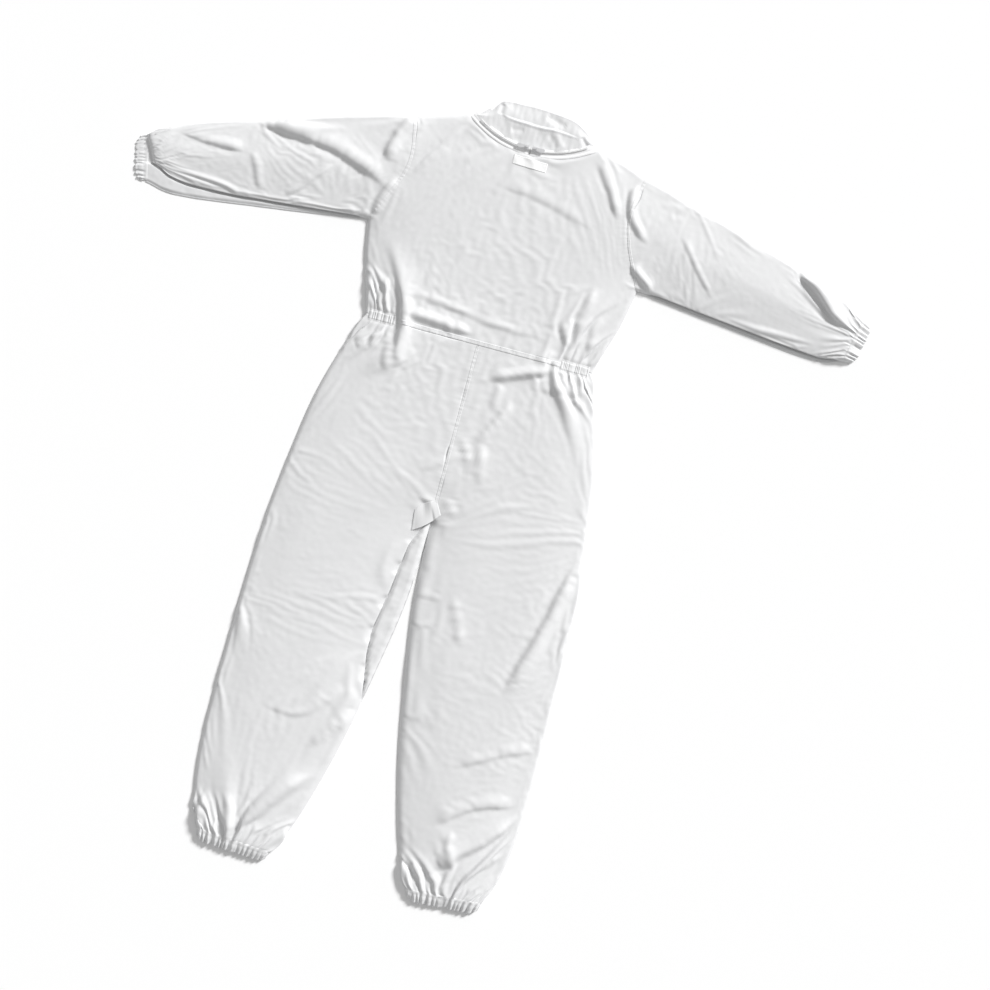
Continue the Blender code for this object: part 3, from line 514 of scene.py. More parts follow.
def welded(grids):
    """One mesh from all the panels: plane points, quads, and which panel each quad is in."""
    points, faces, owner, start = [], [], [], 0
    for index, grid in enumerate(grids.values()):
        rows, columns = grid.shape[:2]
        corner = start + np.arange((rows - 1) * columns).reshape(rows - 1, columns)[:, :-1].ravel()
        faces.append(np.stack([corner, corner + 1, corner + columns + 1, corner + columns], axis=1))
        owner.append(np.full(len(corner), index))
        points.append(grid.reshape(-1, 2))
        start += rows * columns
    points, faces, owner = np.vstack(points), np.vstack(faces), np.concatenate(owner)
    places = np.round(points / WELD_WITHIN).astype(int)
    _, first, index = np.unique(places, axis=0, return_index=True, return_inverse=True)
    points, faces = points[first], index.reshape(-1)[faces]
    return points, upward(points, faces), owner


# ---- where a point is on the sheet ----
def to_segment(points, a, b):
    a, b = np.array(a), np.array(b)
    t = np.clip((points - a) @ (b - a) / ((b - a) @ (b - a)), 0, 1)
    return np.hypot(*(points - a - t[:, None] * (b - a)).T)


def cuff_line(side):
    across = sleeve_across(side) * SLEEVE_CUFF_HALF_WIDTH
    return sleeve_end(side) + across, sleeve_end(side) - across


def hem_line(side):
    return mirrored([HEM_OUTER, HEM_INNER], side)


def about_neck(points):
    """Each point's distance from the neck's centre, and its angle from the centre line there."""
    return np.hypot(*(points - NECK_CENTRE).T), np.arctan2(np.abs(points[:, 0]), NECK_CENTRE[1] - points[:, 1])


def mouth_distance(points):
    """How far each point is from the nearest of the neck, wrists and ankles."""
    radius, angle = about_neck(points)
    neck = np.where(angle < NECK_HALF_ANGLE + 0.004, np.abs(radius - NECK_RADIUS), 1.0)
    others = [to_segment(points, *line(side)) for line in (cuff_line, hem_line) for side in SIDES]
    return np.minimum.reduce([neck, *others])


def distance_to(points, rim):
    out = np.empty(len(points))
    for start in range(0, len(points), 4000):
        some = points[start:start + 4000]
        out[start:start + 4000] = np.sqrt(((some[:, None] - rim[None]) ** 2).sum(2).min(1))
    return out


def to_curve(plane, line):
    """Each point's nearest place on a polyline: its index there, and the distance."""
    index, away = np.empty(len(plane), int), np.empty(len(plane))
    for start in range(0, len(plane), 10000):
        square = ((plane[start:start + 10000, None] - line[None]) ** 2).sum(2)
        index[start:start + 10000] = square.argmin(1)
        away[start:start + 10000] = np.sqrt(square.min(1))
    return index, away


def field(points, scale, seed):
    """Smooth noise of about -1 to 1 over plane points."""
    return np.array([noise.noise(Vector((x / scale, y / scale, seed))) for x, y in points]) * 1.7


def wobble(values, scale, second, third):
    """Smooth noise along a row of numbers."""
    return np.array([noise.noise(Vector((value / scale, second, third))) for value in values])


def ripple(along, kind, seed):
    """Gathers along a line, from 0 to 1, with rounded tops and sharp valleys."""
    pitch = GATHER[kind][0]
    return np.abs(np.cos(math.pi * (along / pitch + 1.3 * wobble(along, 2.5 * pitch, seed, 0.5))))


def rolled_height(away):
    """Height of the sheet's edge at the neck, wrists and ankles, this far from its folded ends."""
    t = np.clip(away / MOUTH_ROLL, 0, 1)
    return EDGE_Z + (MOUTH_Z - EDGE_Z) * np.sqrt(1 - (1 - t) ** 2)


def mouth_height(points, folded):
    return rolled_height(distance_to(points, folded))


def resting_height(points, folded):
    """Where the sheet lies before it buckles: a quick rise at the folded edges, then a low crown."""
    away = distance_to(points, folded)
    crest = EDGE_Z + LIP * (1 - np.exp(-away / LIP_REACH))
    crest += (BODY_Z - EDGE_Z - LIP) * (1 - np.exp(-(away / CREST_REACH) ** 2))
    near = smooth(1 - mouth_distance(points) / MOUTH_FADE)
    return crest * (1 - near) + mouth_height(points, folded) * near


def fold_places(points, reach):
    """For each laid fold, over the points within reach: which they are, the signed distance across it, the direction
    across it, and a taper to its ends."""
    for line, *sizes in FOLDS_MM:
        excess, width, rise = np.array(sizes) / 1000
        track = spline(np.array(line) / 1000)(np.linspace(0, 1, FOLD_STEPS + 1))
        near = np.flatnonzero(((points > track.min(0) - reach) & (points < track.max(0) + reach)).all(1))
        index, _ = to_curve(points[near], track)
        normal = to_left(np.gradient(track, axis=0))[index]
        off = ((points[near] - track[index]) * normal).sum(1)
        yield near, off, normal, smooth(np.minimum(index, FOLD_STEPS - index) * 4 / FOLD_STEPS), excess, width, rise


def pattern(points):
    """Where each point of the laid sheet sits in the flat cloth: further apart wherever the cloth is slack."""
    out = points * (1 + SLACK)
    for side, sign in SIDES.items():
        mine = points[:, 0] * sign > 0
        end, axis, across = sleeve_end(side), sleeve_axis(side), sleeve_across(side)
        extra, reach = CUFF_SLACK["sleeve"]
        share = smooth(1 - (end - points) @ axis / reach) * (np.abs(points[:, 0]) > 0.3) * (points[:, 1] > 0.35)
        out += ((points - end) @ across * extra * share * mine)[:, None] * across
        extra, reach = CUFF_SLACK["leg"]
        outer, inner = spline(mirrored(OUTER_LEG, side)), spline(mirrored(INNER_LEG, side))
        t = np.linspace(0, 1, 60)
        top = (WAIST[1] - CROTCH[1]) / outer.length
        axis = (outer(top + (1 - top) * t) + inner(t)) / 2
        middle = np.interp(-points[:, 1], -axis[:, 1], axis[:, 0])
        share = smooth(1 - (points[:, 1] - (HEM_OUTER[1] + HEM_INNER[1]) / 2) / reach)
        out[:, 0] += (points[:, 0] - middle) * extra * share * mine
        inside = WAIST[0] - np.abs(points[:, 0])
        share = smooth(1 - np.abs(points[:, 1] - WAIST[1]) / WAIST_SLACK_REACH)
        out[:, 0] += sign * np.clip(WAIST_ELASTIC * 1.3 - inside, 0, None) * WAIST_SLACK * share * mine
    for seed, axis in ((3.0, 0), (13.0, 1)):
        wavy, crinkled = field(points, WAVY[1], seed), field(points, CRINKLED[1], seed + 4)
        out[:, axis] += WAVY[0] * wavy + CRINKLED[0] * crinkled
    for near, off, normal, taper, excess, width, _ in fold_places(points, 0.5):
        out[near] += (excess / 2 * np.tanh(off / width) * np.exp(-np.abs(off) / FOLD_REACH) * taper)[:, None] * normal
    return out


def held_points(points, rim, folded_rim):
    """The points that don't move while the sheet settles, and their heights."""
    height = np.full(len(points), np.nan)
    folded = points[folded_rim]
    tucked_in = np.zeros(len(points))
    for side in SIDES:
        for edge, profile in ((sleeve_edges(side)[1], SLEEVE_TUCK[side]), (inner_leg(side), LEG_TUCK[side])):
            index, away = to_curve(points, edge(np.linspace(0, 1, EDGE_POINTS)))
            pulled = np.interp(index / (EDGE_POINTS - 1), *zip(*profile))
            tucked_in = np.maximum(tucked_in, smooth(pulled / TUCK_STARTS) * (away < 0.002))
    height[folded_rim] = EDGE_Z + (TUCK_Z - EDGE_Z) * tucked_in[folded_rim]
    mouths = np.setdiff1d(rim, folded_rim)
    height[mouths] = mouth_height(points[mouths], folded)
    raised = points[folded_rim][height[folded_rim] > (EDGE_Z + TUCK_Z) / 2]
    height[mouths] = np.where(distance_to(points[mouths], raised) < MOUTH_ROLL / 2,
                              np.maximum(height[mouths], TUCK_Z), height[mouths])
    for side in SIDES:
        for kind, line in (("sleeve", cuff_line(side)), ("leg", hem_line(side))):
            on_line = mouths[to_segment(points[mouths], *line) < 0.001]
            along = np.hypot(*(points[on_line] - line[0]).T)
            height[on_line] += GATHER[kind][1] * (ripple(along, kind, SIDES[side]) - 0.3)
    radius, angle = about_neck(points)
    collar = (radius < NECK_RADIUS + NECK_HELD) & (angle < NECK_HALF_ANGLE - 0.02)
    height[collar] = mouth_height(points[collar], folded)
    inside = WAIST[0] - np.abs(points[:, 0])
    band = (np.abs(points[:, 1] - WAIST[1]) < WAIST_BAND_HALF) & (inside < WAIST_ELASTIC) & (inside > 0.004)
    height[band] = resting_height(points[band], folded)
    height[band] += GATHER["waist"][1] * (ripple(inside[band], "waist", 3.0) - 0.4)
    return height


def added(name, data):
    """A new object in the scene."""
    obj = bpy.data.objects.new(name, data)
    bpy.context.scene.collection.objects.link(obj)
    return obj


def mesh_of(name, points, faces):
    mesh = bpy.data.meshes.new(name)
    mesh.from_pydata(points.tolist(), [], faces.tolist())
    return mesh


def simulate(points, faces):
    """Lets the slack sheet buckle and settle over the front layer, with its edges and its elastic held."""
    folded_rim = np.unique(folded_edges(points, faces))
    rest = resting_height(points, points[folded_rim])
    held = held_points(points, np.unique(boundary(faces)), folded_rim)
    loose = np.isnan(held)
    start = rest + CLEARANCE + START_NOISE * field(points, 0.012, 5.0)
    for near, off, _, taper, _, width, rise in fold_places(points, 0.1):
        start[near] += rise * np.exp(-(off / width) ** 2) * taper
    start = np.where(loose, start, held)
    laid = np.column_stack([points, start])
    sheet = added("sheet", mesh_of("sheet", np.column_stack([pattern(points), start]), faces))
    sheet.shape_key_add(name="pattern")
    key = sheet.shape_key_add(name="laid")
    key.data.foreach_set("co", laid.ravel())
    for moment, value in ((1, 0.0), (GATHERED_FRAME, 1.0)):
        key.value = value
        key.keyframe_insert("value", frame=moment)
    pins = sheet.vertex_groups.new(name="pins")
    pins.add(np.flatnonzero(~loose).tolist(), 1.0, "REPLACE")

    low = np.where(loose, rest - CLEARANCE, np.minimum(held, rest) - 2 * CLEARANCE)
    collider = added("under", mesh_of("under", np.column_stack([points, low]), faces))
    collider.modifiers.new("thin", "DECIMATE").ratio = THINNED
    collider.modifiers.new("collision", "COLLISION")
    collider.collision.thickness_outer = CLOTH_GAP
    collider.collision.cloth_friction = FRICTION

    cloth = sheet.modifiers.new("cloth", "CLOTH")
    for name, value in CLOTH.items():
        setattr(cloth.settings, name, value)
    cloth.collision_settings.distance_min = CLOTH_GAP
    cloth.collision_settings.collision_quality = 2
    cloth.point_cache.frame_start = 1
    cloth.point_cache.frame_end = LAST_FRAME
    for moment in range(1, LAST_FRAME + 1):
        bpy.context.scene.frame_set(moment)
    settled = np.empty(len(points) * 3)
    sheet.evaluated_get(bpy.context.evaluated_depsgraph_get()).data.vertices.foreach_get("co", settled)
    bpy.context.scene.frame_set(1)
    action = sheet.data.shape_keys.animation_data.action
    meshes = sheet.data, collider.data
    for obj in (sheet, collider):
        bpy.data.objects.remove(obj)
    bpy.data.actions.remove(action)
    for mesh in meshes:
        bpy.data.meshes.remove(mesh)
    return settled.reshape(-1, 3)


# ---- surfaces ----
def with_rolled_edge(points, plane, faces, owner, floor, out):
    """The sheet with its folded edges turned down to the floor height given for each point."""
    edges = folded_edges(plane, faces)
    of_edge = dict(zip(map(tuple, edges_of(faces)), np.tile(owner, 4)))
    run = plane[edges[:, 1]] - plane[edges[:, 0]]
    normal = np.zeros((len(points), 2))
    for k in range(2):
        np.add.at(normal, edges[:, k], np.column_stack([run[:, 1], -run[:, 0]]))
    rim = np.unique(edges)
    normal = normal[rim] / np.hypot(*normal[rim].T)[:, None]
    index = np.zeros(len(points), int)
    index[rim] = np.arange(len(rim))
    rings = []
    for share, drop in EDGE_RINGS:
        ring = points[rim].copy()
        ring[:, :2] += normal * (out * share)
        ring[:, 2] += (floor[rim] - ring[:, 2]) * drop
        rings.append(ring)
    base, count = len(points), len(rim)
    a, b = index[edges[:, 0]], index[edges[:, 1]]
    first = np.column_stack([edges[:, 1], edges[:, 0], base + a, base + b])
    second = np.column_stack([base + b, base + a, base + count + a, base + count + b])
    edge_owner = np.array([of_edge[tuple(edge)] for edge in edges])
    plane = np.vstack([plane, plane[rim] + normal * out, plane[rim] + normal * out * 2])
    return (np.vstack([points, *rings]), plane, np.vstack([faces, first, second]),
            np.concatenate([owner, edge_owner, edge_owner]))


def refined(points, plane, faces, owner):
    """The sheet with each cell divided in four and smoothed, and the plane coordinates that go with it."""
    out = []
    for places in (points, np.column_stack([plane, np.zeros(len(plane))])):
        mesh = mesh_of("refined", places, faces)
        for _ in range(owner.max() + 1):
            mesh.materials.append(None)
        mesh.polygons.foreach_set("material_index", owner)
        obj = added("refined", mesh)
        smoother = obj.modifiers.new("smooth", "SUBSURF")
        smoother.levels = smoother.render_levels = 1
        smoother.boundary_smooth = "PRESERVE_CORNERS"
        fine = obj.evaluated_get(bpy.context.evaluated_depsgraph_get()).data
        co = np.empty(len(fine.vertices) * 3)
        fine.vertices.foreach_get("co", co)
        corners = np.empty(len(fine.polygons) * 4, int)
        fine.polygons.foreach_get("vertices", corners)
        index = np.empty(len(fine.polygons), int)
        fine.polygons.foreach_get("material_index", index)
        out.append(co.reshape(-1, 3))
        bpy.data.objects.remove(obj)
        bpy.data.meshes.remove(mesh)
    return out[0], out[1][:, :2], corners.reshape(-1, 4), index


def creased(plane):
    """The laid folds' sharp sides, finer than the sheet's cells: each is a step down, away from the light."""
    lift = np.zeros(len(plane))
    drift = CREASE_DRIFT[0] * field(plane, CREASE_DRIFT[1], 33.0)
    for near, off, normal, taper, _, width, rise in fold_places(plane, 0.08):
        off = off * np.sign(normal @ LIGHT_ACROSS) + CREASE_SHIFT * width + drift[near]
        step = smooth(off / CREASE_RUN + 0.5) - 0.5
        fade = np.exp(-np.abs(off) / (width * np.where(off > 0, *CREASE_WIDTH)))
        lift[near] += CREASE_SHARE * rise * step * fade * taper
    return lift


def evened(values, faces, passes):
    """Values at the sheet's points, averaged with their neighbours', so that a slanting crease runs straight."""
    edges = edges_of(faces)
    edges = np.concatenate([edges, edges[:, ::-1]])
    count = np.bincount(edges[:, 0], minlength=len(values))
    for _ in range(passes):
        beside = np.bincount(edges[:, 0], values[edges[:, 1]], minlength=len(values)) / count
        values = (values + beside) / 2
    return values


def puckered(points, plane, faces):
    """The sheet with small puckers drawn in along its seams, and the sharp creases of folded poplin."""
    lift = SLUB * field(plane, 0.011, 31.0) + evened(creased(plane), faces, CREASE_PASSES)
    for line in seam_lines().values():
        track = line(np.linspace(0, 1, 160))
        reach = reach_along(track)
        index, away = to_curve(plane, track)
        drift = wobble(reach, 0.02, 3.0, 8.0)[index]
        wave = np.cos(2 * math.pi * reach[index] / PUCKER_PITCH + 4 * drift)
        lift += PUCKER * wave * np.exp(-away / PUCKER_REACH) * (0.4 + 0.6 * np.abs(drift) * 2)
        lift -= SEAM_DIP[0] * np.exp(-(away / SEAM_DIP[1]) ** 2)
    calm = smooth(mouth_distance(plane) / 0.02)
    out = points.copy()
    out[:, 2] = np.maximum(out[:, 2] + lift * calm, LOWEST)
    return out


def seam_lines():
    """The seams that cross the back, as plane curves."""
    lines = {f"armhole_{side}": spline(mirrored(ARMHOLE, side)) for side in SIDES}
    lines["waist"] = spline([(-WAIST[0] + 0.003, WAIST[1]), (WAIST[0] - 0.003, WAIST[1])])
    lines["centre_back"] = spline([(0, WAIST[1] - 0.006), (CROTCH[0], CROTCH[1] + 0.004)])
    return lines


# ---- pieces ----
def piece(name, points, faces, look, body=None, slot="white_cloth", wall=None, nodes=(), closed=False):
    """A smooth-shaded mesh piece, from points in the outline's own frame. It rides a body if one is given.
    A closed piece's faces are turned outwards."""
    moved = np.array(points, float)
    moved[:, :2] += ORIGIN
    if name in frame["nodes"]:
        name += "_sewn"
    mesh = bpy.data.meshes.new(name)
    mesh.from_pydata(moved.tolist(), [], [list(map(int, face)) for face in faces])
    mesh.polygons.foreach_set("use_smooth", [True] * len(mesh.polygons))
    mesh.materials.append(look)
    obj = added(name, mesh)
    if wall:
        shell = obj.modifiers.new("wall", "SOLIDIFY")
        shell.thickness = wall
        shell.offset = -1
    if body:
        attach(obj, body)
    if nodes:
        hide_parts(*nodes)
    if closed:
        work = bmesh.new()
        work.from_mesh(mesh)
        bmesh.ops.recalc_face_normals(work, faces=work.faces)
        work.to_mesh(mesh)
        work.free()
    return obj


def grid_faces(rows, columns, closed=False):
    """Quads over a grid of points, row by row. A closed grid joins its last column to its first."""
    row, column = np.meshgrid(np.arange(rows - 1), np.arange(columns if closed else columns - 1), indexing="ij")
    here = (row * columns + column).ravel()
    beside = (row * columns + (column + 1) % columns).ravel()
    return np.column_stack([here, beside, beside + columns, here + columns])


def upward(plane, faces):
    """The faces, turned so that they face up."""
    a, b, c = (plane[faces[:, k]] for k in range(3))
    down = (b - a)[:, 0] * (c - b)[:, 1] - (b - a)[:, 1] * (c - b)[:, 0] < 0
    faces = faces.copy()
    faces[down] = faces[down][:, ::-1]
    return faces


def strip(name, places, columns, look="cloth", body="bodice", **more):
    """A piece from a grid of places, row by row, that faces up."""
    faces = upward(places[:, :2], grid_faces(len(places) // columns, columns))
    return piece(name, places, faces, LOOKS[look], body, **more)


def part_of(points, faces, owner, index):
    mine = faces[owner == index]
    used, corners = np.unique(mine, return_inverse=True)
    return points[used], corners.reshape(mine.shape)


class Drape:
    """Finished cloth, to lay seams, stitches and trims on."""

    def __init__(self, *layers):
        points = np.vstack([points for points, _ in layers])
        starts = np.cumsum([0] + [len(points) for points, _ in layers])
        faces = np.vstack([faces + start for (_, faces), start in zip(layers, starts)])
        self.tree = BVHTree.FromPolygons([Vector(p) for p in points], faces.tolist())

    def on(self, plane, lift=0.0):
        """Points that lie this far above the sheet, and the sheet's normals there."""
        places, normals = [], []
        for x, y in plane:
            hit, normal, _, _ = self.tree.ray_cast(Vector((x, y, 0.2)), Vector((0, 0, -1)))
            if hit is None:
                hit, normal = Vector((x, y, EDGE_Z)), Vector((0, 0, 1))
            if normal.z < 0:
                normal = -normal
            places.append(hit + Vector((0, 0, lift)))
            normals.append(normal)
        return np.array(places), np.array(normals)


def beside(line, offset):
    """A plane polyline moved sideways, to the left of its run."""
    return line + to_left(np.gradient(line, axis=0)) * offset


def evenly(line, step):
    """A polyline with its points a step apart, and whatever columns come after its places."""
    reach = np.concatenate([[0], np.cumsum(np.linalg.norm(np.diff(line[:, :3], axis=0), axis=1))])
    at = np.linspace(0, reach[-1], max(2, round(reach[-1] / step) + 1))
    return np.column_stack([np.interp(at, reach, line[:, k]) for k in range(line.shape[1])])


def stitches(name, runs, body):
    """Rows of machine stitches: each run is points along the row and the cloth's normals there."""
    points, faces = [], []
    for line, normals in runs:
        joint = evenly(np.column_stack([line, normals]), STITCH_PITCH)
        places, up = joint[:, :3], joint[:, 3:]
        along = np.gradient(places, axis=0)
        along /= np.linalg.norm(along, axis=1)[:, None]
        up /= np.linalg.norm(up, axis=1)[:, None]
        across = np.cross(up, along)
        for place, a, n, u in zip(places, along, across, up):
            base = len(points)
            points += [place - a * STITCH_LENGTH / 2 - u * THREAD / 2, place - n * THREAD / 2,
                       place + a * STITCH_LENGTH / 2 - u * THREAD / 2, place + n * THREAD / 2,
                       place + u * THREAD * 0.6, place - u * THREAD * 0.6]
            for k in range(4):
                faces.append((base + k, base + (k + 1) % 4, base + 4))
                faces.append((base + (k + 1) % 4, base + k, base + 5))
    return piece(name, points, faces, LOOKS["thread"], body)


def level_run(line, up=1.0):
    """A run of stitches on cloth that lies level."""
    return line, np.tile((0.0, 0.0, up), (len(line), 1))


def welt(name, line, half_width, height, drape):
    """A lapped seam along a plane line: a low band that stands on the cloth, steeper on one side."""
    line = evenly(line, WELT_CELL)
    pucker = wobble(np.arange(len(line)) * WELT_CELL, 0.005, 1.0, 2.0)
    rows = []
    for across, rise in WELT_PROFILE:
        places, _ = drape.on(beside(line, across * half_width))
        places[:, 2] += height * rise + (0.00025 * pucker if rise > 0 else -0.0002)
        rows.append(places)
    return piece(name, np.vstack(rows), grid_faces(len(rows), len(line))[:, ::-1], LOOKS["cloth"], "bodice")


# ---- elastic cuffs ----
def cuff(kind, side, body, layers):
    """A gathered casing round its elastic: it carries on the panels' gathers, then turns in at its open end."""
    start, end = (np.array(p) for p in {"sleeve": cuff_line, "leg": hem_line}[kind](side))
    width = np.hypot(*(end - start))
    across = (end - start) / width
    axis = np.array([-across[1], across[0]])
    axis *= np.sign(axis @ (sleeve_axis(side) if kind == "sleeve" else (0, -1)))
    s = np.linspace(0.0001, width - 0.0001, round(width / CUFF_CELL))
    from_end = np.minimum(s, width - s)
    round_end = np.sqrt(1 - (1 - np.clip(from_end / CUFF_END_ROUND, 0, 1)) ** 2)
    calm = smooth(from_end / CUFF_END_CALM)
    gather = (ripple(s, kind, SIDES[side]) - 0.45) * calm
    fine = wobble(s, 0.006, SIDES[side], 9.0) * calm
    below = (ripple(s, kind, SIDES[side] + 7.0) - 0.5) * calm

    def ring(along, lower, inset, amount):
        out = smooth(along / CUFF_DEPTH)
        top = layers.on(start + np.outer(s, across) + axis * min(along, -0.0014))[0][:, 2]
        top = np.convolve(np.pad(top, 2, mode="edge"), CUFF_SMOOTHING, "valid")
        upper = CUFF_FLOOR + (top - CUFF_FLOOR) * round_end * (1 - lower) - inset
        spread = width / 2 + (s - width / 2) * (1 - CUFF_DRAWN_IN * out) + CUFF_FINE[0] * fine * out
        corner = CUFF_CORNER[0] * (1 - smooth(from_end / CUFF_CORNER[1]))
        reach = along + (gather * CUFF_WAVE + fine * CUFF_FINE[1] - corner) * out
        plane = start + np.outer(spread, across) + np.outer(reach, axis)
        base = CUFF_FLOOR + np.maximum(inset, 0) + np.maximum(0.3 * amount * below, 0)
        upper = np.maximum(upper + amount * (gather + 0.5 * fine), base + 0.0003)
        return np.vstack([np.column_stack([plane, upper]), np.column_stack([plane, base])[::-1]])

    rows = [ring(*row) for row in CUFF_PROFILE]
    band = [ring(*row) for row in ELASTIC_PROFILE]
    name, inner = f"{kind}_cuff_{side}", f"{kind}_elastic_{side}"
    piece(name, np.vstack(rows), grid_faces(len(rows), 2 * len(s), True), LOOKS["cloth"], body, nodes=[name],
          closed=True)
    piece(inner, np.vstack(band), grid_faces(len(band), 2 * len(s), True), LOOKS["elastic"], body, "elastic",
          nodes=[inner], closed=True)
    runs = []
    for index in CUFF_STITCH_ROWS:
        line = rows[index][6:len(s) - 6] + (0, 0, ON_TOP)
        slope = np.gradient(line[:, 2]) / (s[1] - s[0])
        runs.append((line, np.column_stack([-np.outer(slope, across), np.ones(len(line))])))
    stitches(f"{name}_stitching", runs, body)


# ---- collar, hood zips and label ----
def neck_height(angle):
    """The cloth's height along the neck seam."""
    tip, point = np.array(SHOULDER_TIP), np.array(NECK_POINT)
    return rolled_height(to_segment(on_neck(np.abs(np.atleast_1d(angle))), tip, point))


def collar():
    """The stand collar, laid flat above the hood zips: its back band ends in a wavy edge, its facing beyond."""
    columns, rows = 190, 64
    u = np.linspace(0, 1, columns + 1)
    angle = (2 * u - 1) * (NECK_HALF_ANGLE - COLLAR_INSET)
    low, high = on_neck(angle, NECK_RADIUS + 0.001), spline(COLLAR_TOP)(u)
    edge = COLLAR_EDGE_AT + 0.03 * wobble(u * 7, 1, 0.0, 4.0)
    sharp = smooth((u - 0.22) / 0.16) * smooth((0.86 - u) / 0.22)
    base = neck_height(angle)
    points = []
    for v in np.linspace(0, 1, rows + 1):
        place = low * (1 - v) + high * v
        crown = base + COLLAR_ROLL * smooth(v / 0.06)
        beyond = smooth((v - edge) / COLLAR_EDGE_WIDTH)
        lip = COLLAR_LIP * np.exp(-((v - edge + 0.02) / 0.03) ** 2) * sharp
        height = crown + lip - beyond * sharp * COLLAR_STEP
        height = height - (height - COLLAR_RIM_Z) * smooth((v - 0.62) / 0.38) * 0.75
        waves = field(place * (1.0, 0.6), 0.028, 51.0) * 0.0016 + field(place * (1.6, 0.7), 0.014, 53.0) * 0.0005
        height += waves * smooth(v / 0.2) * smooth(np.minimum(u, 1 - u) / 0.08)
        for line, depth, width in COLLAR_FOLDS:
            track = spline(line)(np.linspace(0, 1, 30))
            index, away = to_curve(place, track)
            height += depth * np.exp(-(away / width) ** 2) * smooth(np.minimum(index, 29 - index) / 6)
        points.append(np.column_stack([place, height]))
    outward = high - low
    outward /= np.hypot(*outward.T)[:, None]
    for reach, share in ((0.0011, 0.5), (0.0003, 0.08)):
        rim = points[rows].copy()
        rim[:, :2] += outward * reach
        rim[:, 2] *= share
        points.append(rim)
    points = np.vstack(points)
    made = piece("collar_back", points, grid_faces(rows + 3, columns + 1), LOOKS["cloth"], "bodice", wall=0.0008,
                 nodes=["collar_back"])
    grid = points.reshape(rows + 3, columns + 1, 3)
    sewn = (round(rows * (COLLAR_EDGE_AT - 0.075)), rows - 2)
    stitches("collar_stitching", [level_run(grid[row, 12:-12] + (0, 0, ON_TOP)) for row in sewn], "bodice")


def collar_front(side):
    """The collar's front half, under the back one."""
    low, high = (spline(mirrored(line, side)) for line in (COLLAR_FRONT_LOW, COLLAR_FRONT_HIGH))
    columns, rows = 50, 26
    u = np.linspace(0, 1, columns)
    plane = np.vstack([low(u) * (1 - v) + high(u) * v for v in np.linspace(0, 1, rows)])
    height = COLLAR_FRONT_Z + 0.0006 * field(plane, 0.03, 61.0)
    made = strip(f"collar_front_{side}", np.column_stack([plane, height]), columns, wall=0.0010,
                 nodes=[f"collar_front_{side}"])


def neck_tape(side):
    """Half a hood zip's white tape: a raised binding on the neck seam, a groove, and the woven edge by the teeth."""
    sign = SIDES[side]
    angle = np.linspace(math.radians(0.45), NECK_HALF_ANGLE - math.radians(0.8), 220) * sign
    rows = []
    for radius, rise in NECK_TAPE_PROFILE:
        line = on_neck(angle, radius + 0.0006 * wobble(angle * 9, 1, 0.0, sign))
        height = neck_height(angle) + rise + 0.0003 * wobble(angle * 14, 1, radius * 90, 6.0)
        rows.append(np.column_stack([line, height]))
    strip(f"neck_zip_tape_{side}", np.vstack(rows), len(angle), "tape", slot="zip_tape",
          nodes=[f"neck_zip_tape_{side}"])
    runs = [level_run(evenly(rows[index] + (0, 0, 0.0001), STEP)) for index in NECK_TAPE_STITCHES]
    stitches(f"neck_tape_stitching_{side}", runs, "bodice")


def teeth(name, places):
    """Moulded zip teeth with their corners taken off, from each one's place and directions along and across."""
    points, faces = [], []
    size, up = TOOTH_SIZE, np.array([0.0, 0.0, 1.0])
    for place, along, across in places:
        base = len(points)
        for z, share in TOOTH_LEVELS:
            for x, y in SQUARE:
                corner = along * size[0] * x * share, across * size[1] * y * share, up * size[2] * z
                points.append(place + corner[0] + corner[1] + corner[2])
        for level in range(3):
            for k in range(4):
                a, b = base + level * 4 + k, base + level * 4 + (k + 1) % 4
                faces.append((a, b, b + 4, a + 4))
        faces.append(tuple(base + k for k in (3, 2, 1, 0)))
        faces.append(tuple(base + 12 + k for k in range(4)))
    piece(name, points, faces, LOOKS["teeth"], "bodice", "zip_teeth", nodes=[name], closed=True)


def neck_teeth(side):
    sign = SIDES[side]
    low, high = (np.array(corner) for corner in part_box(f"neck_zip_teeth_{side}"))
    height = (low[2] + high[2]) / 2
    places = []
    count = round((NECK_CHAIN_END - NECK_CHAIN_START) * NECK_SLIDER_RADIUS / TOOTH_PITCH)
    for k in range(count):
        angle = sign * (NECK_CHAIN_START + (NECK_CHAIN_END - NECK_CHAIN_START) * (k + 0.5) / count)
        radial = np.array([math.sin(angle), -math.cos(angle), 0.0])
        along = np.array([math.cos(angle), math.sin(angle), 0.0])
        place = np.array([*(np.array(NECK_CENTRE) + radial[:2] * (NECK_SLIDER_RADIUS + TEETH_OUT)), height])
        places.append((place, along, radial))
    teeth(f"neck_zip_teeth_{side}", places)
    angle = np.linspace(NECK_CHAIN_START, NECK_CHAIN_END, 120) * sign
    cord = []
    for out, rise in CORD_PROFILE:
        cord.append(np.column_stack([on_neck(angle, NECK_SLIDER_RADIUS + out), np.full(len(angle), height + rise)]))
    strip(f"neck_zip_cord_{side}", np.vstack(cord), len(angle), "tape", slot="zip_tape")


def front_teeth(side):
    low, high = (np.array(corner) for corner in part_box(f"front_zip_teeth_{side}"))
    centre = (low + high) / 2
    centre[:2] -= ORIGIN
    count = round((high[1] - low[1]) / TOOTH_PITCH)
    heights = (low[1] - ORIGIN[1] + (high[1] - low[1]) * (k + 0.5) / count for k in range(count))
    along, across = np.array([0, 1.0, 0]), np.array([SIDES[side] * 1.0, 0, 0])
    teeth(f"front_zip_teeth_{side}", ((np.array([centre[0], y, centre[2]]), along, across) for y in heights))


def cad_box(name):
    """A CAD node's box, in the outline's own frame."""
    return (np.array(corner) - (*ORIGIN, 0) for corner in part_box(name))


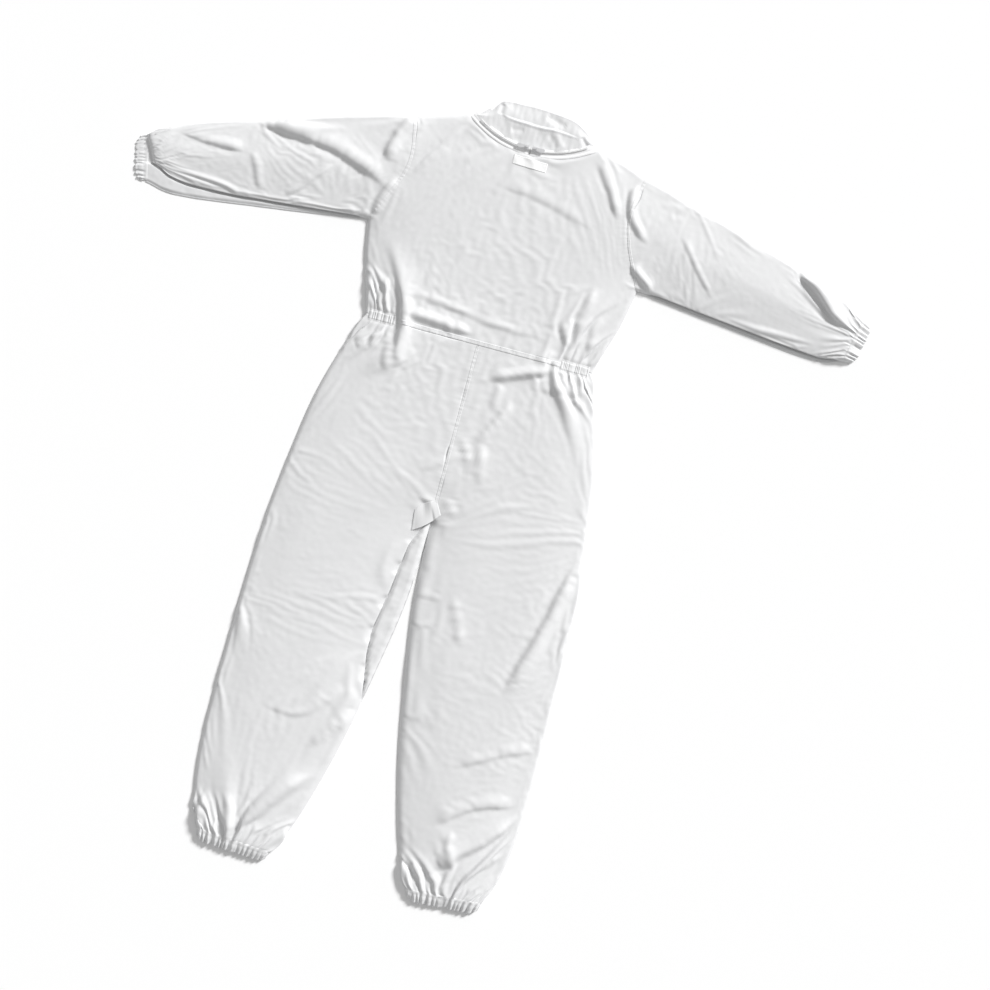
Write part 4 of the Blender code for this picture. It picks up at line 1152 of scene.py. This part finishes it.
def label(drape):
    """The blank sewn-on label, a little curled, with a hemmed edge."""
    low, high = (corner[:2] for corner in cad_box("neck_label"))
    columns, rows = 74, 24
    u, v = np.linspace(0, 1, columns), np.linspace(0, 1, rows)
    uu, vv = np.meshgrid(u, v)
    centre, size = (low + high) / 2, high - low
    local = np.column_stack([(uu.ravel() - 0.5) * size[0], (vv.ravel() - 0.5) * size[1]])
    turn = (math.cos(LABEL_TILT), math.sin(LABEL_TILT))
    plane = centre + local @ np.array([turn, (-turn[1], turn[0])])
    places, _ = drape.on(plane)
    edge = np.minimum(np.minimum(uu, 1 - uu) * size[0], np.minimum(vv, 1 - vv) * size[1]).ravel()
    hem, drop = (height * np.exp(-(edge / width) ** 2) for height, width in (LABEL_HEM, LABEL_EDGE))
    places[:, 2] += LABEL_RISE + hem - drop
    places[:, 2] += LABEL_CURL[0] * field(plane, LABEL_CURL[1], 71.0)
    made = piece("neck_label", places, grid_faces(rows, columns), LOOKS["label"], "bodice", "label", wall=0.0004,
                 nodes=["neck_label"])
    grid = places.reshape(rows, columns, 3) + (0, 0, 0.0001)
    loop = [grid[2, 2:-2], grid[2:-2, -3], grid[-3, 2:-2][::-1], grid[2:-2, 2][::-1]]
    stitches("neck_label_stitching", [level_run(line) for line in loop], "bodice")


def crotch_fold(layers):
    """A small flap of the left trouser's cloth, folded down over the crotch and open along its lower edge."""
    columns, rows = 40, 24
    u = np.linspace(0, 1, columns)
    top, low = spline(FLAP_TOP)(u), spline(FLAP_LOW)(u)
    high = layers.on(top)[0][:, 2] + ON_TOP
    rest = smoothed(layers.on(low)[0][None, :, 2], 4)[0]
    open_z = np.maximum(rest, FLAP_FLOOR) + FLAP_RISE * np.sin(math.pi * u ** 0.8) ** 0.8
    points = []
    for t in np.linspace(0, 1, rows):
        plane = top + (low - top) * t
        z = high + (open_z - high) * smooth(t)
        points.append(np.column_stack([plane, np.maximum(z, layers.on(plane)[0][:, 2] + ON_TOP)]))
    hem = points[-1] - (0, 0, 0.0012)
    hem[:, :2] += (top - low) * 0.02
    made = strip("crotch_fold", np.vstack([*points, hem]), columns, body=None, wall=0.0004)
    bend_leg(made, "left")


# ---- waist ----
def waist_shirring(side, drape):
    """The short strip of shirred elastic at a side of the waist, in fine upright gathers."""
    sign = SIDES[side]
    columns, rows = 150, 40
    x = np.linspace(WAIST[0] - WAIST_ELASTIC, WAIST[0] - 0.0035, columns)
    y = WAIST[1] + np.linspace(-1, 1, rows) * WAIST_STRIP_HALF
    gathers = np.abs(np.cos(math.pi * (x / SHIRR_PITCH + 1.1 * wobble(x, 0.012, 2.0, sign))))
    ends = smooth(np.minimum(x - x[0], x[-1] - x) / 0.004)
    lines = (np.column_stack([sign * x, row + 0.0012 * wobble(x, 0.02, row / 0.009, 7.0)]) for row in y)
    grid = np.array([drape.on(line)[0] for line in lines])
    grid[:, :, 2] = smoothed(grid[:, :, 2], 3)
    for k, row in enumerate(y):
        from_edge = 1 - abs(row - WAIST[1]) / WAIST_STRIP_HALF
        stitched = math.exp(-((from_edge - SHIRR_ROW[0]) / SHIRR_ROW[1]) ** 2)
        rise = 0.0005 + SHIRR_HEIGHT * gathers * (1 - 0.40 * stitched) - 0.0003 * stitched
        rise = rise * smooth(from_edge / 0.5) - 0.0010 * (1 - smooth(from_edge / 0.08))
        grid[k, :, 2] += rise * ends - 0.0008 * (1 - ends)
    strip(f"waist_shirring_{side}", grid.reshape(-1, 3), columns, nodes=[f"waist_elastic_{side}"])


def smoothed(values, passes):
    """A grid of heights with its sharpest steps averaged out."""
    for _ in range(passes):
        padded = np.pad(values, 1, mode="edge")
        values = (padded[:-2, 1:-1] + padded[2:, 1:-1] + padded[1:-1, :-2] + padded[1:-1, 2:] + 2 * values) / 6
    return values


# ---- the front layer, under the suit ----
def front_height(plane, folded):
    """The front layer's upper face: on the floor at its folded edges, and lifted by the front zip."""
    away = distance_to(plane, folded)
    off_edge = smooth(away / 0.04)
    by_zip = smooth(1.4 - np.abs(plane[:, 0]) / 0.05) * smooth((plane[:, 1] + 0.02) / 0.06)
    height = (FRONT_CROWN + FRONT_ZIP_LIFT * by_zip) * off_edge + FRONT_EDGE_Z
    return height + 0.0004 * smooth(away / 0.03) * field(plane, 0.04, 85.0)


def shown_height(plane):
    """How far the front layer bulges where it shows past the back layer's fold, with a groove along that fold."""
    lift = np.zeros(len(plane))
    relief = 1 + 0.15 * field(plane, 0.030, 81.0) + 0.06 * field(plane, 0.010, 83.0)
    for side in SIDES:
        for edge, profile, bulge in ((sleeve_edges(side, "front")[1], SLEEVE_TUCK[side], SHOWN_BULGE["sleeve"]),
                                     (inner_leg(side, "front"), LEG_TUCK[side], SHOWN_BULGE["leg"])):
            index, away = to_curve(plane, edge(np.linspace(0, 1, 2 * EDGE_POINTS)))
            width = np.interp(index / (2 * EDGE_POINTS - 1), *zip(*profile))
            crest = smooth((away + 0.001) / SHOWN_SHOULDER) * smooth((width - away - 0.0015) / SHOWN_GROOVE)
            mine = (width > 0.004) & (away < width) & (plane[:, 0] * SIDES[side] > 0)
            lift = np.maximum(lift, bulge * crest * mine)
    return lift * relief


def front_layer():
    """The front panels, and the edge of them that shows past the back layer's folds."""
    plane, faces, owner = welded(panels("front", FRONT_CELL, ZIP_OPENING))
    edges = folded_edges(plane, faces)
    by_zip = np.abs(plane[edges]).max(1)[:, 0] < ZIP_OPENING + 0.0005
    points = np.column_stack([plane, front_height(plane, plane[np.unique(edges[~by_zip])])])
    rolled = with_rolled_edge(points, plane, faces, owner, np.full(len(points), 0.0006), 0.0007)
    points, plane, faces, owner = refined(*rolled)
    points[:, 2] += shown_height(plane)
    names = [f"{part}_{side}" for side in SIDES for part in ("front_bodice", "sleeve_under", "trouser_front")]
    made = {}
    for index, name in enumerate(names):
        body = "bodice" if "bodice" in name else None
        made[name] = piece(name, *part_of(points, faces, owner, index), cloth_at(name), body, wall=SHEET_WALL,
                           nodes=[] if "sleeve" in name else [name])
    return made, (points, faces)


def box_grid(low, high, columns, rows):
    """A grid of plane coordinates over a box, row by row."""
    grid = np.meshgrid(np.linspace(low[0], high[0], columns), np.linspace(low[1], high[1], rows))
    return (values.ravel() for values in grid)


def patch_pocket(name):
    """A patch pocket on the front's outside: a flat panel with a turned hem and a wider hem at its mouth."""
    low, high = cad_box(name)
    columns, rows = 60, 60
    xx, yy = box_grid(low, high, columns, rows)
    below = smooth(1 - (yy - low[1]) / POCKET_CORNER)
    middle = (low[0] + high[0]) / 2
    xx = middle + (xx - middle) * (1 - below * POCKET_CORNER / (high[0] - low[0]))
    edge = np.minimum.reduce([xx - low[0], high[0] - xx, yy - low[1]])
    top = smooth(1 - (high[1] - yy) / POCKET_HEM)
    plane = np.column_stack([xx, yy])
    under = 0.0012 - 0.0003 * smooth(1 - edge / 0.008) - 0.0004 * top + 0.0001 * field(plane, 0.03, 91.0)
    made = piece(name, np.column_stack([plane, under]), upward(plane, grid_faces(rows, columns))[:, ::-1],
                 LOOKS["cloth"], "bodice", wall=-POCKET_WALL, nodes=[name])
    grid = np.column_stack([plane, under - 0.0001]).reshape(rows, columns, 3)
    lines = [grid[:, 2][::-1], grid[2, 2:-2], grid[:, -3], grid[-9]]
    stitches(f"{name}_stitching", [level_run(line, -1.0) for line in lines], "bodice")


def zip_guard():
    """The strip of cloth behind the front zip."""
    low, high = cad_box("zip_guard")
    columns, rows = 20, 240
    plane = np.column_stack([*box_grid(low, high, columns, rows)])
    height = low[2] + 0.0006 + 0.0004 * field(plane, 0.03, 95.0)
    made = strip("zip_guard", np.column_stack([plane, height]), columns, wall=SHEET_WALL, nodes=["zip_guard"])


# ---- materials ----
def material(name):
    look = bpy.data.materials.new(name)
    look.use_nodes = True
    return look, look.node_tree, look.node_tree.nodes["Principled BSDF"]


def node(tree, kind, **values):
    """A new node, with its settings and its sockets' values."""
    made = tree.nodes.new(kind)
    for name, value in values.items():
        socket = made.inputs.get(name.replace("_", " "))
        if socket is None:
            setattr(made, name, value)
        else:
            socket.default_value = value
    return made


def two_toned(tree, shader, factor, color, spread, brightest):
    """The shader's colour, from a little darker to a little lighter than the one given."""
    made = node(tree, "ShaderNodeMix", data_type="RGBA", A=(*(c * (1 - spread) for c in color), 1),
                B=(*(min(c * (1 + spread), brightest) for c in color), 1))
    tree.links.new(factor, made.inputs["Factor"])
    tree.links.new(made.outputs["Result"], shader.inputs["Base Color"])


def ranged(tree, factor, **ends):
    made = node(tree, "ShaderNodeMapRange", **ends)
    tree.links.new(factor, made.inputs["Value"])
    return made.outputs["Result"]


def embossed(tree, shader, height, strength, distance):
    made = node(tree, "ShaderNodeBump", Strength=strength, Distance=distance)
    tree.links.new(height, made.inputs["Height"])
    tree.links.new(made.outputs["Normal"], shader.inputs["Normal"])


def fabric(name, color, roughness, thread, turn=0.0, sheen=0.12, spread=0.025, bump=0.30):
    """Woven cloth: threads both ways, a little uneven in shade and gloss, with faint slubs."""
    look, tree, shader = material(name)
    shader.inputs["Sheen Weight"].default_value = sheen
    shader.inputs["Sheen Roughness"].default_value = 0.4
    shader.inputs["Specular IOR Level"].default_value = 0.35
    where = node(tree, "ShaderNodeTexCoord")
    turned = node(tree, "ShaderNodeMapping", Rotation=(0, 0, turn))
    tree.links.new(where.outputs["Object"], turned.inputs["Vector"])

    def texture(kind, **values):
        made = node(tree, kind, **values)
        tree.links.new(turned.outputs["Vector"], made.inputs["Vector"])
        return made.outputs["Fac"]

    def noise_at(scale, detail=2.0):
        return texture("ShaderNodeTexNoise", Scale=scale, Detail=detail)

    def math_of(operation, a, b):
        made = node(tree, "ShaderNodeMath", operation=operation)
        for socket, value in zip(made.inputs, (a, b)):
            if isinstance(value, float):
                socket.default_value = value
            else:
                tree.links.new(value, socket)
        return made.outputs[0]

    def spread_out(factor, low, high):
        return ranged(tree, factor, From_Min=0.3, From_Max=0.7, To_Min=low, To_Max=high)

    threads = (texture("ShaderNodeTexWave", bands_direction=direction, Scale=math.pi / 10 / thread * 0.5,
                       Distortion=0.6, Detail_Scale=1.0) for direction in ("X", "Y"))
    weave = math_of("MULTIPLY", *threads)
    blotch = math_of("ADD", math_of("MULTIPLY", noise_at(9.0), 0.6), math_of("MULTIPLY", noise_at(70.0, 4.0), 0.4))
    two_toned(tree, shader, spread_out(blotch, 0.0, 1.0), color, spread, 0.95)
    tree.links.new(spread_out(noise_at(160.0), roughness - 0.05, roughness + 0.06), shader.inputs["Roughness"])
    height = math_of("ADD", weave, math_of("MULTIPLY", noise_at(420.0), 0.5))
    embossed(tree, shader, height, bump, thread * 0.22)
    return look


def hard(name, color, roughness, metallic, bump=0.08):
    """Metal or nylon: fine scratches in its gloss and a slightly uneven colour."""
    look, tree, shader = material(name)
    shader.inputs["Metallic"].default_value = metallic
    where = node(tree, "ShaderNodeTexCoord")
    grain = node(tree, "ShaderNodeTexNoise", Scale=600.0, Detail=4.0)
    tree.links.new(where.outputs["Object"], grain.inputs["Vector"])
    grain = grain.outputs["Fac"]
    two_toned(tree, shader, grain, color, 0.06, 1.0)
    gloss = ranged(tree, grain, To_Min=roughness - 0.08, To_Max=roughness + 0.12)
    tree.links.new(gloss, shader.inputs["Roughness"])
    embossed(tree, shader, grain, bump, 0.0001)
    return look


POPLIN = (0.745, 0.747, 0.752)
THREAD_PITCH = 0.00042
CAD_LOOKS = [("elastic", "elastic"), ("slider", "metal"), ("pull", "metal"), ("stop", "metal"), ("box", "teeth"),
             ("tape", "tape")]  # a word in a CAD node's name, and the look it gets
LOOKS = {
    "cloth": fabric("white_poplin", POPLIN, 0.58, THREAD_PITCH),
    "sleeve_left": fabric("white_poplin_sleeve_left", POPLIN, 0.58, THREAD_PITCH, SLEEVE_DROOP["left"]),
    "sleeve_right": fabric("white_poplin_sleeve_right", POPLIN, 0.58, THREAD_PITCH, -SLEEVE_DROOP["right"]),
    "tape": fabric("white_zip_tape", (0.92, 0.92, 0.925), 0.60, 0.0007, spread=0.015, bump=0.5),
    "label": fabric("white_label", (0.93, 0.93, 0.93), 0.45, 0.0003, spread=0.01, sheen=0.05, bump=0.2),
    "elastic": fabric("white_elastic", (0.82, 0.82, 0.81), 0.75, 0.0011, bump=0.8),
    "thread": fabric("white_thread", (0.78, 0.78, 0.785), 0.55, 0.0003, bump=0.4),
    "teeth": hard("white_nylon", (0.88, 0.88, 0.875), 0.38, 0.0),
    "metal": hard("zip_metal", (0.80, 0.80, 0.81), 0.32, 0.45, bump=0.15),
}


def cloth_at(name):
    for side in SIDES:
        if name.startswith("sleeve") and name.endswith(side):
            return LOOKS[f"sleeve_{side}"]
    return LOOKS["cloth"]


def repaint_cad():
    """Finishes for the CAD nodes that stay."""
    for name, obj in frame["nodes"].items():
        obj.data.materials.clear()
        obj.data.materials.append(LOOKS[next((look for word, look in CAD_LOOKS if word in name), "cloth")])


# ---- the suit ----
def bend_sleeve(obj, side):
    start = np.array([SIDES[side] * SLEEVE_BEND_START[0], SLEEVE_BEND_START[1]]) + ORIGIN
    end = start + sleeve_axis(side) * SLEEVE_BEND
    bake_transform(obj)


def bend_leg(obj, side):
    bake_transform(obj)


def back_layer():
    """The back panels, as the simulation left them, with their seams drawn in: the pieces, and the sheet in one."""
    plane, faces, owner = welded(panels())
    points = simulate(plane, faces)
    floor = np.where(points[:, 2] > (EDGE_Z + TUCK_Z) / 2, TUCK_Z - TUCK_DROP, EDGE_FLOOR)
    rolled = with_rolled_edge(points, plane, faces, owner, floor, EDGE_OUT)
    points, plane, faces, owner = refined(*rolled)
    points = puckered(points, plane, faces)
    owner = np.select([owner == k for k in range(6)], [0, 1, 2, 0, 3, 4])
    names = ["back_bodice", "sleeve_left", "trouser_back_left", "sleeve_right", "trouser_back_right"]
    made = {}
    for index, name in enumerate(names):
        made[name] = piece(name, *part_of(points, faces, owner, index), cloth_at(name),
                           "bodice" if index == 0 else None, wall=SHEET_WALL, nodes=[name])
    return made, (points, faces)


def seams(drape):
    for name, line in seam_lines().items():
        track = line(np.linspace(0, 1, 300))
        half_width, height = WAIST_WELT if name == "waist" else SEAM_WELT
        if name == "waist":
            track = track[np.abs(track[:, 0]) < WAIST[0] - WAIST_ELASTIC + 0.004]
        made = welt(f"seam_{name}", track, half_width, height, drape)
        if name == "waist":
            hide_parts("waist_casing")
        lines = (evenly(beside(track, side * half_width), STEP) for side in (-0.55, 0.55))
        stitches(f"seam_{name}_stitching", [drape.on(line, height + 0.0001) for line in lines], "bodice")


def build():
    repaint_cad()
    back, upper = back_layer()
    front, lower = front_layer()
    drape, layers = Drape(upper), Drape(upper, lower)
    for side in SIDES:
        for obj in (back[f"sleeve_{side}"], front[f"sleeve_under_{side}"]):
            bend_sleeve(obj, side)
        for obj in (back[f"trouser_back_{side}"], front[f"trouser_front_{side}"]):
            bend_leg(obj, side)
        cuff("sleeve", side, f"sleeve_{side}", layers)
        cuff("leg", side, f"leg_{side}", layers)
        waist_shirring(side, drape)
        collar_front(side)
        neck_tape(side)
        neck_teeth(side)
        front_teeth(side)
    seams(drape)
    crotch_fold(layers)
    collar()
    label(drape)
    for name in ("chest_pocket", "hip_pocket_left", "hip_pocket_right"):
        patch_pocket(name)
    zip_guard()


# ---- floor, light and camera ----
FLOOR_REACH = 60
FLOOR_COLOR = (0.97, 0.97, 0.97, 1)
VIEW_CENTRE = (0.118, 0.031)
VIEW_WIDTH = 1.98
VIEW_DISTANCE = 4.0
SENSOR_MM = 36
TURN = math.radians(15)
LIGHT_FROM = (0.80, 0.66, 0.60)  # right, up the picture, and towards the camera
LIGHT_DISTANCE = 4
LIGHT_ENERGY = 3.75
LIGHT_ANGLE = math.radians(12)
SKY = 0.43


def floor():
    mesh = bpy.data.meshes.new("floor")
    corners = [(x * FLOOR_REACH, y * FLOOR_REACH, 0) for x, y in SQUARE]
    mesh.from_pydata(corners, [], [(0, 1, 2, 3)])
    look, _, shader = material("pale_floor")
    shader.inputs["Base Color"].default_value = FLOOR_COLOR
    shader.inputs["Roughness"].default_value = 0.9
    mesh.materials.append(look)
    added("floor", mesh)


def studio():
    scene = bpy.context.scene
    right = Vector((math.cos(TURN), math.sin(TURN), 0))
    up = Vector((-math.sin(TURN), math.cos(TURN), 0))
    lens = bpy.data.cameras.new("camera")
    lens.sensor_width = SENSOR_MM
    lens.lens = SENSOR_MM * VIEW_DISTANCE / VIEW_WIDTH
    camera = added("camera", lens)
    camera.matrix_world = Matrix((right, up, (0, 0, 1))).transposed().to_4x4()
    camera.location = (*VIEW_CENTRE, VIEW_DISTANCE)
    scene.camera = camera
    light = bpy.data.lights.new("key", "SUN")
    light.energy = LIGHT_ENERGY
    light.angle = LIGHT_ANGLE
    key = added("key", light)
    towards = (right * LIGHT_FROM[0] + up * LIGHT_FROM[1] + Vector((0, 0, LIGHT_FROM[2]))).normalized()
    key.location = Vector((*VIEW_CENTRE, 0)) + towards * LIGHT_DISTANCE
    key.rotation_euler = (-towards).to_track_quat("-Z", "Y").to_euler()
    world = bpy.data.worlds.new("studio")
    world.use_nodes = True
    world.node_tree.nodes["Background"].inputs["Color"].default_value = (1, 1, 1, 1)
    world.node_tree.nodes["Background"].inputs["Strength"].default_value = SKY
    scene.world = world
    scene.view_settings.view_transform = "Standard"


build()
floor()
studio()
